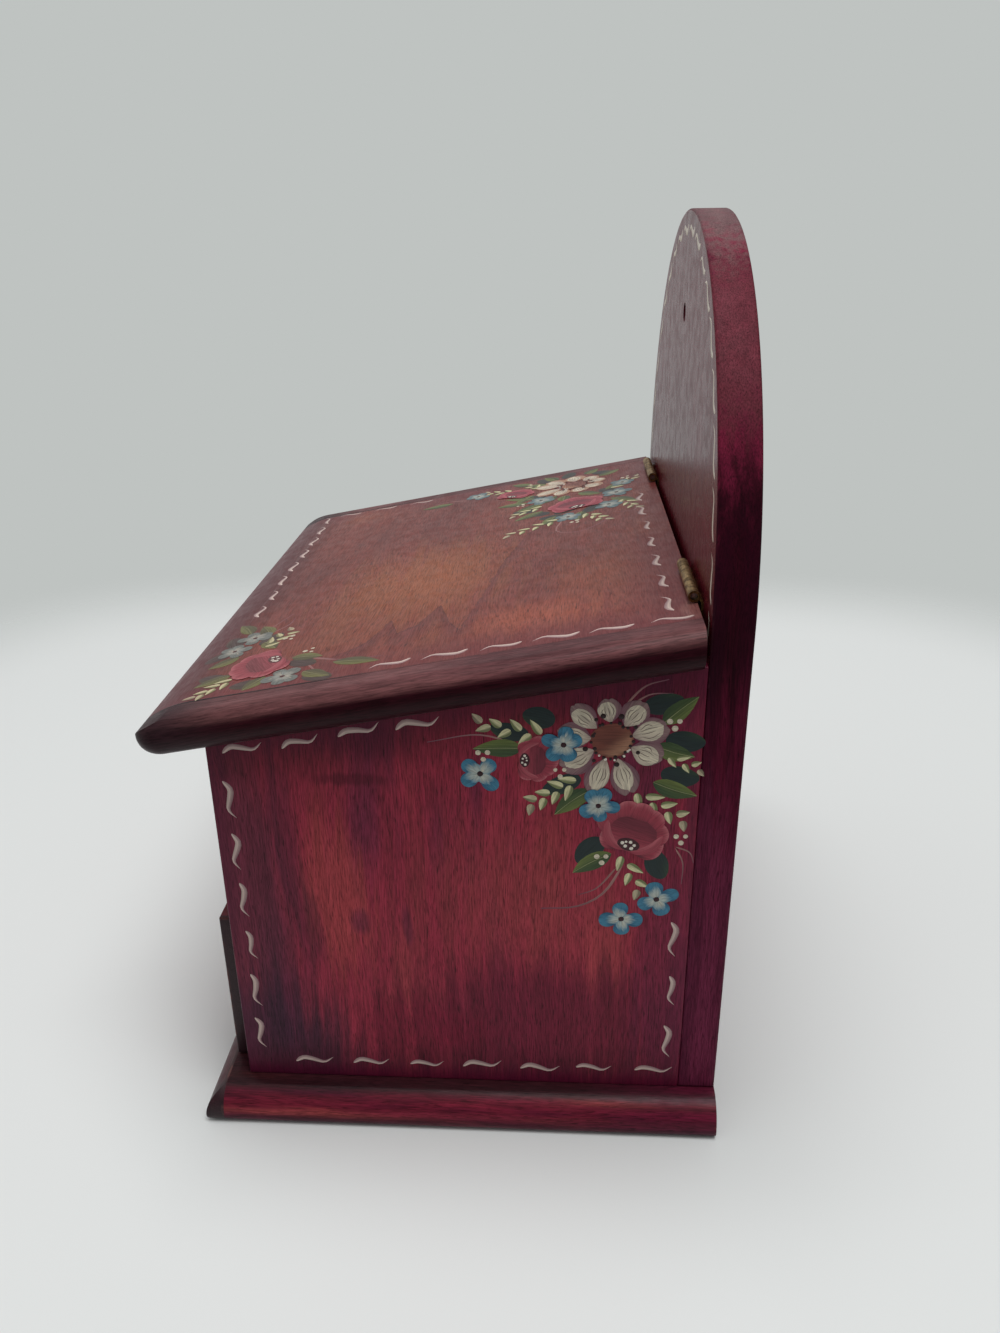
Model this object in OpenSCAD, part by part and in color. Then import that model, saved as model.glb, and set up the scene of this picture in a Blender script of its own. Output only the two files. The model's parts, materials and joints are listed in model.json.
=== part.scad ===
// Sloping-lid box with an arched hanging board and a drawer, in stained wood.
// Millimetres, +Z up, +Y to the back board. The origin is the middle of the base's underside.

/* [Body] */
// Outer width over the two side boards, also the width of the back board
body_w = 228; // [190:1:280]
// Depth of a side board, from its front edge to the back board
side_depth = 152.4; // [125:0.2:190]
// Height of a side board at its front edge
side_front_h = 132.2; // [115:0.2:170]
// Thickness of a side board
side_t = 8.5; // [7.5:0.1:12]
// Thickness of the upper front board
front_t = 8.5; // [6:0.1:12]
// Thickness of the shelf between the drawer and the lidded compartment
shelf_t = 6.4; // [4:0.1:10]
// Depth of the housings in the side boards that hold the shelf and the front board
housing_depth = 3; // [2:0.1:3.2]

/* [Back board] */
// Thickness of the back board
back_t = 12.7; // [9:0.1:18]
// Straight height of the back board, from the base to the spring of its arch
back_straight_h = 169.3; // [165:0.1:220]
// Diameter of the hanging hole
hole_d = 6.6; // [4:0.1:12]
// Distance from the top of the arch down to the middle of the hanging hole
hole_drop = 34; // [20:0.5:60]

/* [Base] */
// Thickness of the base
base_t = 12.7; // [10:0.1:16]
// Share of the base's thickness that the wide rounding of its upper edge takes; the rest is eased below
base_round_share = 0.75; // [0.55:0.05:0.9]
// How far the base stands out beyond each side board
base_side_reach = 11; // [8:0.1:20]
// How far the base stands out in front of the side boards
base_front_reach = 13.7; // [10:0.1:25]
// Width of the lipping strip along the front of the base
base_strip_w = 6.4; // [6:0.1:9]

/* [Lid] */
// Slope of the lid, in degrees
lid_slope = 10.6; // [6:0.1:14]
// Thickness of the lid, whose edges are half-round
lid_t = 12.7; // [10:0.1:16]
// How far the lid stands out beyond each side board
lid_side_reach = 6.7; // [4:0.1:12]
// How far the lid stands out in front of the side boards, along its slope
lid_front_reach = 20.6; // [12:0.1:30]
// Radius of the lid's two front corners, seen from above
lid_corner_r = 9; // [8.5:0.5:14]
// Length of the round-over with which the lid's top falls towards its front edge
lid_round_l = 18; // [12:0.5:24]
// Radius of the lid's front nose, as a share of the lid's thickness
lid_nose_share = 0.385; // [0.3:0.005:0.45]
// Width of the strips glued to the two ends of the lid panel
lid_strip_w = 12.7; // [8:0.1:14]
// Gap between the closed lid and the boards under it
lid_seat_gap = 0.2; // [0.1:0.05:0.5]

/* [Glued tongues] */
// Thickness of the tongues that hold the lid strips and the base strip
tongue_t = 4; // [3:0.1:5]
// Length of the tongues
tongue_l = 3; // [2:0.1:3.5]
// How far a tongue stops short of each end of its joint
tongue_stop = 14; // [10:0.5:25]

/* [Hinges] */
// Length of a hinge
hinge_l = 33; // [24:0.5:44]
// Distance from the outer face of a side board to the outer end of its hinge
hinge_inset = 19; // [12:0.5:40]
// Number of knuckles on a hinge
knuckle_n = 5; // [3:2:7]
// Thickness of the leaf sheet, which is rolled to make the knuckles
leaf_t = 0.7; // [0.5:0.05:1]
// Height of a leaf below the pin's axis
leaf_h = 13; // [11:0.1:16]
// Gap between the two closed leaves
leaf_gap = 0.4; // [0.3:0.05:0.8]
// Diameter of the hinge pin
pin_d = 2.2; // [1.6:0.1:3]
// Radial running clearance of the pin in the knuckles
pin_play = 0.05; // [0.02:0.01:0.1]
// How far the pin lies inside each end of the barrel
pin_inset = 1; // [0.5:0.1:2]
// Gap between neighbouring knuckles
knuckle_gap = 0.3; // [0.2:0.05:0.5]
// Gap between the barrel and the lid's top
barrel_gap = 0.3; // [0.25:0.05:0.6]
// Distance between the two screws of a leaf
leaf_screw_span = 18; // [12:0.5:20]

/* [Drawer] */
// Height of the drawer front
drawer_front_h = 60.3; // [45:0.1:70]
// Thickness of the drawer front
drawer_front_t = 12.7; // [11:0.1:16]
// How far the closed drawer front stands proud of the side boards
drawer_proud = 7; // [0:0.1:7.5]
// Depth of the rabbets in the drawer front that take the drawer sides
drawer_rabbet = 5; // [4:0.1:6]
// Thickness of the drawer sides
drawer_side_t = 6.4; // [5.5:0.1:9]
// How much lower the drawer sides are than the drawer front
drawer_side_drop = 4; // [2:0.1:10]
// Thickness of the drawer back
drawer_back_t = 6.4; // [5:0.1:9]
// Distance of the drawer back from the rear ends of the drawer sides
drawer_back_inset = 5; // [2:0.1:12]
// Thickness of the drawer bottom
drawer_bottom_t = 3.2; // [2.5:0.1:5]
// Height of the drawer bottom above the lower edge of the drawer sides
drawer_bottom_up = 5; // [3:0.1:8]
// Depth of the grooves that hold the drawer bottom and the drawer back
drawer_groove = 3; // [2:0.1:3.5]
// Running gap between the drawer and each side board
drawer_play = 0.4; // [0.3:0.05:1]
// Gap under the drawer
drawer_lift = 0.3; // [0.2:0.05:0.6]
// Gap over the drawer front
drawer_head = 0.7; // [0.4:0.05:1.5]
// Gap between the closed drawer and the back board that stops it
drawer_stop_gap = 0.4; // [0.3:0.05:1]

/* [Knob] */
// Diameter of the knob
knob_d = 22; // [14:0.5:30]
// How far the knob stands out from the drawer front
knob_l = 20; // [14:0.5:28]
// Diameter of the knob's neck
knob_neck_d = 11; // [8:0.5:13]
// Diameter of the bead at the foot of the knob
knob_foot_d = 15; // [13.5:0.5:18]
// Thickness of the bead at the foot of the knob
knob_foot_t = 3; // [2:0.1:4]
// Diameter of the knob's screw
knob_screw_d = 4; // [3:0.1:5]
// Depth of the knob's screw in the knob
knob_screw_grip = 9; // [6:0.5:11]
// Diameter of the head of the knob's screw
knob_screw_head_d = 8; // [6.5:0.1:10]
// Height of the head of the knob's screw
knob_screw_head_h = 2.4; // [1.5:0.1:3]

/* [Fasteners] */
// Clearance around a screw, a nail or a brad
fastener_play = 0.05; // [0.02:0.01:0.1]
// Diameter of a hinge screw
hinge_screw_d = 1.8; // [1.4:0.1:2.2]
// Diameter of the head of a hinge screw
hinge_screw_head_d = 3.6; // [3:0.1:4.4]
// Length of a hinge screw
hinge_screw_l = 9.5; // [6:0.1:11]
// Diameter of a base screw
base_screw_d = 3.2; // [2.5:0.1:3.6]
// Diameter of the head of a base screw
base_screw_head_d = 6.2; // [5:0.1:7]
// Length of a base screw
base_screw_l = 30; // [24:0.5:38]
// How far a base screw's head is sunk in the underside
base_screw_sink = 0.6; // [0.3:0.1:1.5]
// Distance of the base screws from the ends of a side board
base_screw_margin = 30; // [28:0.5:50]
// Distance of the two base screws in the back board from its edges
base_screw_inset = 49; // [25:1:70]
// Diameter of a back nail
nail_d = 1.8; // [1.4:0.1:2]
// Diameter of the head of a back nail
nail_head_d = 3; // [2.4:0.1:3.6]
// Height of the head of a back nail
nail_head_h = 0.8; // [0.5:0.1:1.2]
// Length of a back nail
nail_l = 32; // [26:0.5:36]
// How far a nail head or a brad is punched below the surface
punch_depth = 0.6; // [0.3:0.1:1]
// Distance of the outer back nails from the ends of the joint
nail_margin = 26; // [24:0.5:35]
// Number of back nails in each side board
nail_n = 3; // [2:1:4]
// Diameter of a drawer brad
brad_d = 1.2; // [1:0.1:1.5]
// Length of a drawer brad
brad_l = 16; // [14:0.5:22]
// Distance of the drawer brads from the edges of the joint
brad_margin = 14; // [12:0.5:18]

/* [Hidden] */

$fa = 4;
$fs = 0.4;
// Overlap that lets a cutter pass through a face
cut = 1;

// Body
inner_w = body_w - 2 * side_t;
housed_w = inner_w + 2 * housing_depth;
base_w = body_w + 2 * base_side_reach;
base_d = base_front_reach + side_depth + back_t;
base_over = base_round_share * base_t;
base_under = base_t - base_over;
front_y = -base_d / 2 + base_front_reach;
back_y = front_y + side_depth;
rear_y = back_y + back_t;
side_front_z = base_t + side_front_h;
side_mid_x = (body_w - side_t) / 2;
arch_z = base_t + back_straight_h;
hole_z = arch_z + body_w / 2 - hole_drop;

// Drawer
drawer_z = base_t + drawer_lift;
drawer_w = inner_w - 2 * drawer_play;
drawer_y = front_y - drawer_proud;
drawer_rear_y = back_y - drawer_stop_gap;
drawer_side_h = drawer_front_h - drawer_side_drop;
drawer_side_y = drawer_y + drawer_front_t - drawer_rabbet;
drawer_inner_w = drawer_w - 2 * drawer_side_t;
drawer_grooved_w = drawer_inner_w + 2 * drawer_groove;
drawer_bottom_z = drawer_z + drawer_bottom_up;
drawer_floor_z = drawer_bottom_z + drawer_bottom_t;
drawer_back_y = drawer_rear_y - drawer_back_inset - drawer_back_t;
knob_z = drawer_z + drawer_front_h / 2;
shelf_z = drawer_z + drawer_front_h + drawer_head;

// Lid
lid_w = body_w + 2 * lid_side_reach;
lid_core_w = lid_w - 2 * lid_strip_w;
hinge_gap = 2 * leaf_t + leaf_gap;
lid_back_y = back_y - hinge_gap;
lid_run = (side_depth - hinge_gap) / cos(lid_slope);
lid_z = side_front_z + lid_seat_gap / cos(lid_slope);

// Hinges
barrel_r = pin_d / 2 + pin_play + leaf_t;
hinge_y = back_y - leaf_t - leaf_gap - barrel_r;
hinge_z = lid_z + (hinge_y - front_y) * tan(lid_slope) + (lid_t + barrel_r + barrel_gap) / cos(lid_slope);
knuckle_l = hinge_l / knuckle_n;
leaf_notch = barrel_r + barrel_gap + leaf_t;
leaf_screw_z = -(leaf_notch + leaf_h) / 2;

wood = "#6e2d2b";
dark_wood = "#56211f";
pale_wood = "#8a4d38";
brass = "#9c7d45";
steel = "#8d8f92";

// Helpers

// Extrudes a profile drawn in Y and Z along X
module along_x(x0, x1) {
  translate([x0, 0, 0]) rotate([90, 0, 90]) linear_extrude(x1 - x0) children();
}

// Extrudes a profile drawn in X and Z along Y
module along_y(y0, y1) {
  translate([0, y1, 0]) rotate([90, 0, 0]) linear_extrude(y1 - y0) children();
}

// A block between two corners
module block(low, high) {
  translate(low) cube(high - low);
}

// The child and its mirror image in the middle plane
module both_sides() {
  children();
  mirror([1, 0, 0]) children();
}

// End of a board's section, half-round, from x = 0 out to x = w
module half_round_end(w, t) {
  square([w - t / 2, t]);
  translate([w - t / 2, 0]) intersection() {
    translate([0, t / 2]) circle(d = t);
    square([t / 2, t]);
  }
}

// End of a board's section, wide round above and eased below, outermost at x = 0
module eased_end(over, under) {
  intersection() {
    translate([-over, under]) circle(r = over);
    translate([-over, under]) square(over);
  }
  intersection() {
    translate([-under, under]) circle(r = under);
    translate([-under, 0]) square(under);
  }
  translate([-over, 0]) square([over - under, under]);
}

// Countersunk wood screw from its head's face down -Z, or its hole when play is above 0
module wood_screw(d, head_d, l, play) {
  head_h = (head_d - d) / 2;
  mirror([0, 0, 1]) {
    cylinder(d1 = head_d + 2 * play, d2 = d + 2 * play, h = head_h);
    cylinder(d = d + 2 * play, h = l - d + play);
    translate([0, 0, l - d + play]) cylinder(d1 = d + 2 * play, d2 = d / 3, h = d);
  }
}

// The slot across a screw's head
module screw_slot(head_d) {
  block([-head_d, -head_d / 12, -head_d / 10], [head_d, head_d / 12, cut]);
}

// Base

module base_blank() {
  x = base_w / 2 - base_over;
  y = base_d / 2 - base_over;
  intersection() {
    along_y(-base_d / 2, base_d / 2) {
      translate([-x, 0]) square([2 * x, base_t]);
      both_sides() translate([base_w / 2, 0]) eased_end(base_over, base_under);
    }
    along_x(-base_w / 2, base_w / 2) {
      translate([-y, 0]) square([y + base_d / 2, base_t]);
      translate([-base_d / 2, 0]) mirror([1, 0]) eased_end(base_over, base_under);
    }
  }
}

module base_tongue() {
  x = base_w / 2 - tongue_stop;
  y = -base_d / 2 + base_strip_w;
  block([-x, y - tongue_l, (base_t - tongue_t) / 2], [x, y + cut, (base_t + tongue_t) / 2]);
}

module base_strip_zone() {
  block([-base_w, -base_d, -cut], [base_w, -base_d / 2 + base_strip_w, base_t + cut]);
}

module at_base_screws() {
  for (y = [front_y + base_screw_margin, back_y - base_screw_margin])
    both_sides() translate([side_mid_x, y, base_screw_sink]) mirror([0, 0, 1]) children();
  both_sides() translate([body_w / 2 - base_screw_inset, back_y + back_t / 2, base_screw_sink])
    mirror([0, 0, 1]) children();
}

module base_screw_holes() {
  at_base_screws() {
    wood_screw(base_screw_d, base_screw_head_d, base_screw_l, fastener_play);
    cylinder(d = base_screw_head_d + 2 * fastener_play, h = base_screw_sink + cut);
  }
}

module base_plate() {
  color(wood) difference() {
    union() {
      difference() {
        base_blank();
        base_strip_zone();
      }
      base_tongue();
    }
    base_screw_holes();
  }
}

module base_front_strip() {
  color(wood) difference() {
    intersection() {
      base_blank();
      base_strip_zone();
    }
    base_tongue();
  }
}

module base_screws() {
  color(steel) at_base_screws() difference() {
    wood_screw(base_screw_d, base_screw_head_d, base_screw_l, 0);
    screw_slot(base_screw_head_d);
  }
}

// Body

// Height of the boards' sloping top at a given depth
function slope_z(y) = side_front_z + (y - front_y) * tan(lid_slope);

module at_back_nails() {
  low = base_t + nail_margin;
  high = slope_z(back_y) - nail_margin;
  for (i = [0 : nail_n - 1])
    both_sides() translate([side_mid_x, rear_y - punch_depth, low + i * (high - low) / (nail_n - 1)])
      rotate([90, 0, 0]) children();
}

module back_nail(play) {
  cylinder(d = nail_d + 2 * play, h = nail_l + play);
  cylinder(d = nail_head_d + 2 * play, h = nail_head_h);
}

module back_nail_holes() {
  at_back_nails() {
    back_nail(fastener_play);
    translate([0, 0, -punch_depth - cut])
      cylinder(d = nail_head_d + 2 * fastener_play, h = punch_depth + 2 * cut);
  }
}

module back_nails() {
  color(steel) at_back_nails() back_nail(0);
}

module side_board() {
  color(wood) difference() {
    along_x(body_w / 2 - side_t, body_w / 2) polygon([
      [front_y, base_t],
      [back_y, base_t],
      [back_y, slope_z(back_y)],
      [front_y, slope_z(front_y)]
    ]);
    front_board_blank();
    shelf_blank();
    base_screw_holes();
    back_nail_holes();
  }
}

module right_side() {
  side_board();
}

module left_side() {
  mirror([1, 0, 0]) side_board();
}

module back_board() {
  color(dark_wood) difference() {
    along_y(back_y, rear_y) {
      translate([-body_w / 2, base_t]) square([body_w, back_straight_h]);
      translate([0, arch_z]) circle(d = body_w);
    }
    translate([0, back_y - cut, hole_z]) rotate([-90, 0, 0]) cylinder(d = hole_d, h = back_t + 2 * cut);
    back_nail_holes();
    base_screw_holes();
    hinge_back_screw_holes();
  }
}

module front_board_blank() {
  along_x(-housed_w / 2, housed_w / 2) polygon([
    [front_y, shelf_z],
    [front_y + front_t, shelf_z],
    [front_y + front_t, slope_z(front_y + front_t)],
    [front_y, slope_z(front_y)]
  ]);
}

module front_board() {
  color(wood) front_board_blank();
}

module shelf_blank() {
  block([-housed_w / 2, front_y + front_t, shelf_z], [housed_w / 2, back_y, shelf_z + shelf_t]);
}

module shelf() {
  color(pale_wood) shelf_blank();
}

// Lid

module at_lid() {
  translate([0, front_y, lid_z]) rotate([lid_slope, 0, 0]) children();
}

// Board with half-round edges, whose two front corners are rounded
module lid_board(far) {
  x = lid_w / 2 - lid_corner_r;
  y = lid_corner_r - lid_front_reach;
  block([-x, y, 0], [x, far, lid_t]);
  translate([0, y, 0]) rotate([0, 0, -90]) along_y(-x, x) half_round_end(lid_corner_r, lid_t);
  both_sides() translate([x, y, 0]) {
    along_y(0, far - y) half_round_end(lid_corner_r, lid_t);
    rotate([0, 0, -90]) rotate_extrude(angle = 90) half_round_end(lid_corner_r, lid_t);
  }
}

// Section of the lid: its top falls towards the front in one arc, which runs into the nose without a corner
module lid_section(far) {
  r = lid_nose_share * lid_t;
  a = lid_round_l - r;
  h = lid_t - r;
  big_r = (h * h + a * a - r * r) / (2 * (h - r));
  top = [lid_round_l - lid_front_reach, lid_t];
  middle = [r - lid_front_reach, r];
  centre = top - [0, big_r];
  meet = centre + (middle - centre) * big_r / (big_r - r);
  translate(middle) circle(r = r);
  intersection() {
    translate(centre) circle(r = big_r);
    polygon([top, 2 * top - centre, 2 * meet - centre, meet]);
  }
  polygon([[far, 0], [far, lid_t], top, meet, middle, [middle.x, 0]]);
}

module lid_blank() {
  far = lid_run + lid_t;
  difference() {
    at_lid() intersection() {
      lid_board(far);
      along_x(-lid_w, lid_w) lid_section(far);
    }
    block([-lid_w, lid_back_y, lid_z], [lid_w, lid_back_y + 3 * lid_t, lid_z + side_depth]);
  }
}

module lid_strip_zone() {
  at_lid() block([lid_core_w / 2, -side_depth, -cut], [lid_w, 2 * side_depth, lid_t + cut]);
}

module lid_tongue() {
  x = lid_core_w / 2;
  y0 = -lid_front_reach + tongue_stop;
  y1 = lid_run - tongue_stop;
  at_lid() block([x - cut, y0, (lid_t - tongue_t) / 2], [x + tongue_l, y1, (lid_t + tongue_t) / 2]);
}

module lid_panel() {
  color(wood) difference() {
    union() {
      difference() {
        lid_blank();
        both_sides() lid_strip_zone();
      }
      both_sides() lid_tongue();
    }
    hinge_lid_screw_holes();
  }
}

module lid_strip() {
  color(dark_wood) difference() {
    intersection() {
      lid_blank();
      lid_strip_zone();
    }
    lid_tongue();
  }
}

module lid_right_strip() {
  lid_strip();
}

module lid_left_strip() {
  mirror([1, 0, 0]) lid_strip();
}

// Hinges

module at_hinge() {
  translate([body_w / 2 - hinge_inset - hinge_l, hinge_y, hinge_z]) children();
}

module knuckle_ring() {
  difference() {
    circle(r = barrel_r);
    circle(r = pin_d / 2 + pin_play);
  }
}

// Extrudes a section over every second knuckle, from the first one given
module over_knuckles(first) {
  for (i = [first : 2 : knuckle_n - 1]) {
    x0 = i * knuckle_l + (i == 0 ? 0 : knuckle_gap / 2);
    x1 = (i + 1) * knuckle_l - (i == knuckle_n - 1 ? 0 : knuckle_gap / 2);
    along_x(x0, x1) children();
  }
}

module at_leaf_screws() {
  for (s = [-1, 1]) translate([hinge_l / 2 + s * leaf_screw_span / 2, 0, leaf_screw_z]) children();
}

module at_back_leaf_screws() {
  at_hinge() at_leaf_screws() translate([0, barrel_r + leaf_gap, 0]) rotate([90, 0, 0]) children();
}

module at_lid_leaf_screws() {
  at_hinge() at_leaf_screws() translate([0, barrel_r, 0]) rotate([-90, 0, 0]) children();
}

module leaf_screw(play) {
  wood_screw(hinge_screw_d, hinge_screw_head_d, hinge_screw_l, play);
}

module hinge_back_screw_holes() {
  both_sides() at_back_leaf_screws() leaf_screw(fastener_play);
}

module hinge_lid_screw_holes() {
  both_sides() at_lid_leaf_screws() leaf_screw(fastener_play);
}

// Leaf on the back board: it steps forward above the lid and is rolled over the pin
module hinge_back_leaf() {
  sheet_y = barrel_r + leaf_gap;
  step = barrel_r;
  color(brass) difference() {
    at_hinge() {
      along_x(0, hinge_l) translate([sheet_y, -leaf_h]) square([leaf_t, leaf_h - leaf_notch]);
      over_knuckles(0) {
        knuckle_ring();
        polygon([
          [barrel_r - leaf_t, 0],
          [barrel_r, 0],
          [sheet_y + leaf_t, -step],
          [sheet_y + leaf_t, -leaf_notch - leaf_t],
          [sheet_y, -leaf_notch - leaf_t],
          [sheet_y, -step],
          [barrel_r - leaf_t, -leaf_t]
        ]);
      }
    }
    at_back_leaf_screws() leaf_screw(fastener_play);
  }
}

// Leaf on the lid's back edge: its sheet runs straight up and is rolled over the pin
module hinge_lid_leaf() {
  color(brass) difference() {
    at_hinge() {
      along_x(0, hinge_l) translate([barrel_r - leaf_t, -leaf_h]) square([leaf_t, leaf_h - leaf_notch]);
      over_knuckles(1) {
        knuckle_ring();
        translate([barrel_r - leaf_t, -leaf_notch - leaf_t]) square([leaf_t, leaf_notch + leaf_t]);
      }
    }
    at_lid_leaf_screws() leaf_screw(fastener_play);
  }
}

module hinge_pin() {
  color(steel) at_hinge() translate([pin_inset, 0, 0]) rotate([0, 90, 0])
    cylinder(d = pin_d, h = hinge_l - 2 * pin_inset);
}

module right_hinge_back_leaf() {
  hinge_back_leaf();
}

module right_hinge_lid_leaf() {
  hinge_lid_leaf();
}

module right_hinge_pin() {
  hinge_pin();
}

module left_hinge_back_leaf() {
  mirror([1, 0, 0]) hinge_back_leaf();
}

module left_hinge_lid_leaf() {
  mirror([1, 0, 0]) hinge_lid_leaf();
}

module left_hinge_pin() {
  mirror([1, 0, 0]) hinge_pin();
}

module slotted_leaf_screw() {
  difference() {
    leaf_screw(0);
    screw_slot(hinge_screw_head_d);
  }
}

module hinge_back_screws() {
  color(brass) both_sides() at_back_leaf_screws() slotted_leaf_screw();
}

module hinge_lid_screws() {
  color(brass) both_sides() at_lid_leaf_screws() slotted_leaf_screw();
}

// Drawer

module drawer_bottom_blank() {
  block(
    [-drawer_grooved_w / 2, drawer_y + drawer_front_t - drawer_groove, drawer_bottom_z],
    [drawer_grooved_w / 2, drawer_rear_y, drawer_floor_z]
  );
}

module drawer_back_blank() {
  block(
    [-drawer_grooved_w / 2, drawer_back_y, drawer_floor_z],
    [drawer_grooved_w / 2, drawer_back_y + drawer_back_t, drawer_z + drawer_side_h]
  );
}

module drawer_side_blank() {
  block(
    [drawer_inner_w / 2, drawer_side_y, drawer_z],
    [drawer_w / 2, drawer_rear_y, drawer_z + drawer_side_h]
  );
}

module at_drawer_brads() {
  front_joint_y = drawer_y + drawer_front_t - drawer_rabbet / 2;
  back_joint_y = drawer_back_y + drawer_back_t / 2;
  low_z = drawer_z + brad_margin;
  high_z = drawer_z + drawer_side_h - brad_margin;
  for (y = [front_joint_y, back_joint_y], z = [low_z, high_z])
    both_sides() translate([drawer_w / 2 - punch_depth, y, z]) rotate([0, -90, 0]) children();
}

module drawer_brad_holes() {
  at_drawer_brads() translate([0, 0, -punch_depth - cut])
    cylinder(d = brad_d + 2 * fastener_play, h = brad_l + punch_depth + cut + fastener_play);
}

module drawer_brads() {
  color(steel) at_drawer_brads() cylinder(d = brad_d, h = brad_l);
}

module at_knob() {
  translate([0, drawer_y, knob_z]) rotate([90, 0, 0]) children();
}

module knob_screw_blank(play) {
  translate([0, 0, -drawer_front_t])
    cylinder(d = knob_screw_d + 2 * play, h = drawer_front_t + knob_screw_grip + play);
}

module drawer_front() {
  color(wood) difference() {
    block(
      [-drawer_w / 2, drawer_y, drawer_z],
      [drawer_w / 2, drawer_y + drawer_front_t, drawer_z + drawer_front_h]
    );
    both_sides() block(
      [drawer_inner_w / 2, drawer_side_y, drawer_z - cut],
      [drawer_w / 2 + cut, drawer_y + drawer_front_t + cut, drawer_z + drawer_front_h + cut]
    );
    drawer_bottom_blank();
    drawer_brad_holes();
    at_knob() knob_screw_blank(fastener_play);
  }
}

module drawer_side() {
  color(pale_wood) difference() {
    drawer_side_blank();
    drawer_bottom_blank();
    drawer_back_blank();
    drawer_brad_holes();
  }
}

module drawer_right_side() {
  drawer_side();
}

module drawer_left_side() {
  mirror([1, 0, 0]) drawer_side();
}

module drawer_back() {
  color(pale_wood) difference() {
    drawer_back_blank();
    drawer_brad_holes();
  }
}

module drawer_bottom() {
  color(pale_wood) drawer_bottom_blank();
}

// Turned knob: a bead at the foot, a waisted neck and a flattened ball
module drawer_knob() {
  head_r = knob_d / 2;
  head_h = knob_l * 0.3;
  neck_l = knob_l - knob_foot_t;
  color(wood) at_knob() difference() {
    rotate_extrude() intersection() {
      union() {
        square([knob_neck_d / 2, knob_l - head_h]);
        square([knob_foot_d / 2 - knob_foot_t / 2, knob_foot_t]);
        translate([knob_foot_d / 2 - knob_foot_t / 2, knob_foot_t / 2]) circle(d = knob_foot_t);
        translate([head_r - head_h, knob_l - head_h]) circle(r = head_h);
        translate([0, knob_l - 2 * head_h]) square([head_r - head_h, 2 * head_h]);
      }
      square([knob_d, knob_foot_t + neck_l]);
    }
    knob_screw_blank(fastener_play);
  }
}

module knob_screw() {
  color(steel) at_knob() {
    translate([0, 0, -drawer_front_t - knob_screw_head_h]) difference() {
      cylinder(d = knob_screw_head_d, h = knob_screw_head_h);
      mirror([0, 0, 1]) screw_slot(knob_screw_head_d);
    }
    knob_screw_blank(0);
  }
}

base_plate();
base_front_strip();
right_side();
left_side();
back_board();
front_board();
shelf();
lid_panel();
lid_right_strip();
lid_left_strip();
right_hinge_back_leaf();
right_hinge_lid_leaf();
right_hinge_pin();
left_hinge_back_leaf();
left_hinge_lid_leaf();
left_hinge_pin();
hinge_back_screws();
hinge_lid_screws();
drawer_front();
drawer_right_side();
drawer_left_side();
drawer_back();
drawer_bottom();
drawer_knob();
knob_screw();
drawer_brads();
base_screws();
back_nails();
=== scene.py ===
# Painted box with a sloping lid, an arched hanging board and a drawer
import bpy
import bmesh
import json
import math
import random
from mathutils import Matrix, Vector

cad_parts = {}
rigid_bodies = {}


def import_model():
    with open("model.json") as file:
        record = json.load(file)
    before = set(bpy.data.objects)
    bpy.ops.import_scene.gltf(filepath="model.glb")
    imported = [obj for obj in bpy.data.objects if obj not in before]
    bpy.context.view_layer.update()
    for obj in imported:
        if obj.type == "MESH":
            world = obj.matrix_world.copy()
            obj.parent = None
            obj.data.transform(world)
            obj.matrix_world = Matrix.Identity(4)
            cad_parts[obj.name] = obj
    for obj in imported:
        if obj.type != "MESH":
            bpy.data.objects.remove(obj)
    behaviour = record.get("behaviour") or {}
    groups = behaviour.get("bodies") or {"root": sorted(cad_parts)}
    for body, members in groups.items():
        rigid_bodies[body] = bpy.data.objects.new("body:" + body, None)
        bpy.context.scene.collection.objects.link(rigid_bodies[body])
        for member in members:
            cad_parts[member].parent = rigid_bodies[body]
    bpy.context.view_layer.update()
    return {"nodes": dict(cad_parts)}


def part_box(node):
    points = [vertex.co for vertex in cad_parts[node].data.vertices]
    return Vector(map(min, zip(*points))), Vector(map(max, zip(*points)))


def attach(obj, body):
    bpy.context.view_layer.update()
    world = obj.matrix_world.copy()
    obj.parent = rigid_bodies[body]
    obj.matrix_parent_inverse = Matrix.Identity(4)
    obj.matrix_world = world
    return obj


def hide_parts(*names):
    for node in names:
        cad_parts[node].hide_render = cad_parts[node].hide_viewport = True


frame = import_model()
nodes = frame["nodes"]
scene = bpy.context.scene
mm = 0.001
quarterTurn = math.pi / 2
ax, ay, az = Vector((1, 0, 0)), Vector((0, 1, 0)), Vector((0, 0, 1))
print("frame loaded:", len(nodes), "solids")

# Sizes that the boards share, read from the solids
sideLow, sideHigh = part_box("right_side")
backLow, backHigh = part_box("back_board")
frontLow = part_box("front_board")[0]
drawerLow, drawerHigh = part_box("drawer_front")
frontTopZ = max(v.co.z for v in nodes["right_side"].data.vertices if v.co.y < sideLow.y + mm)
slope = math.atan2(sideHigh.z - frontTopZ, sideHigh.y - sideLow.y)
lidUp = Vector((0, -math.sin(slope), math.cos(slope)))
lidRun = Vector((0, math.cos(slope), math.sin(slope)))
archRadius = backHigh.x
archSpringZ = backHigh.z - archRadius


def spanAlong(node, direction):
    reach = [v.co.dot(direction) for v in nodes[node].data.vertices]
    return min(reach), max(reach)


lidFrontRun, lidBackRun = spanAlong("lid_panel", lidRun)
lidUnder, lidTop = spanAlong("lid_panel", lidUp)
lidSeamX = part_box("lid_right_strip")[0].x
sideTop = spanAlong("right_side", lidUp)[1]


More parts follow.
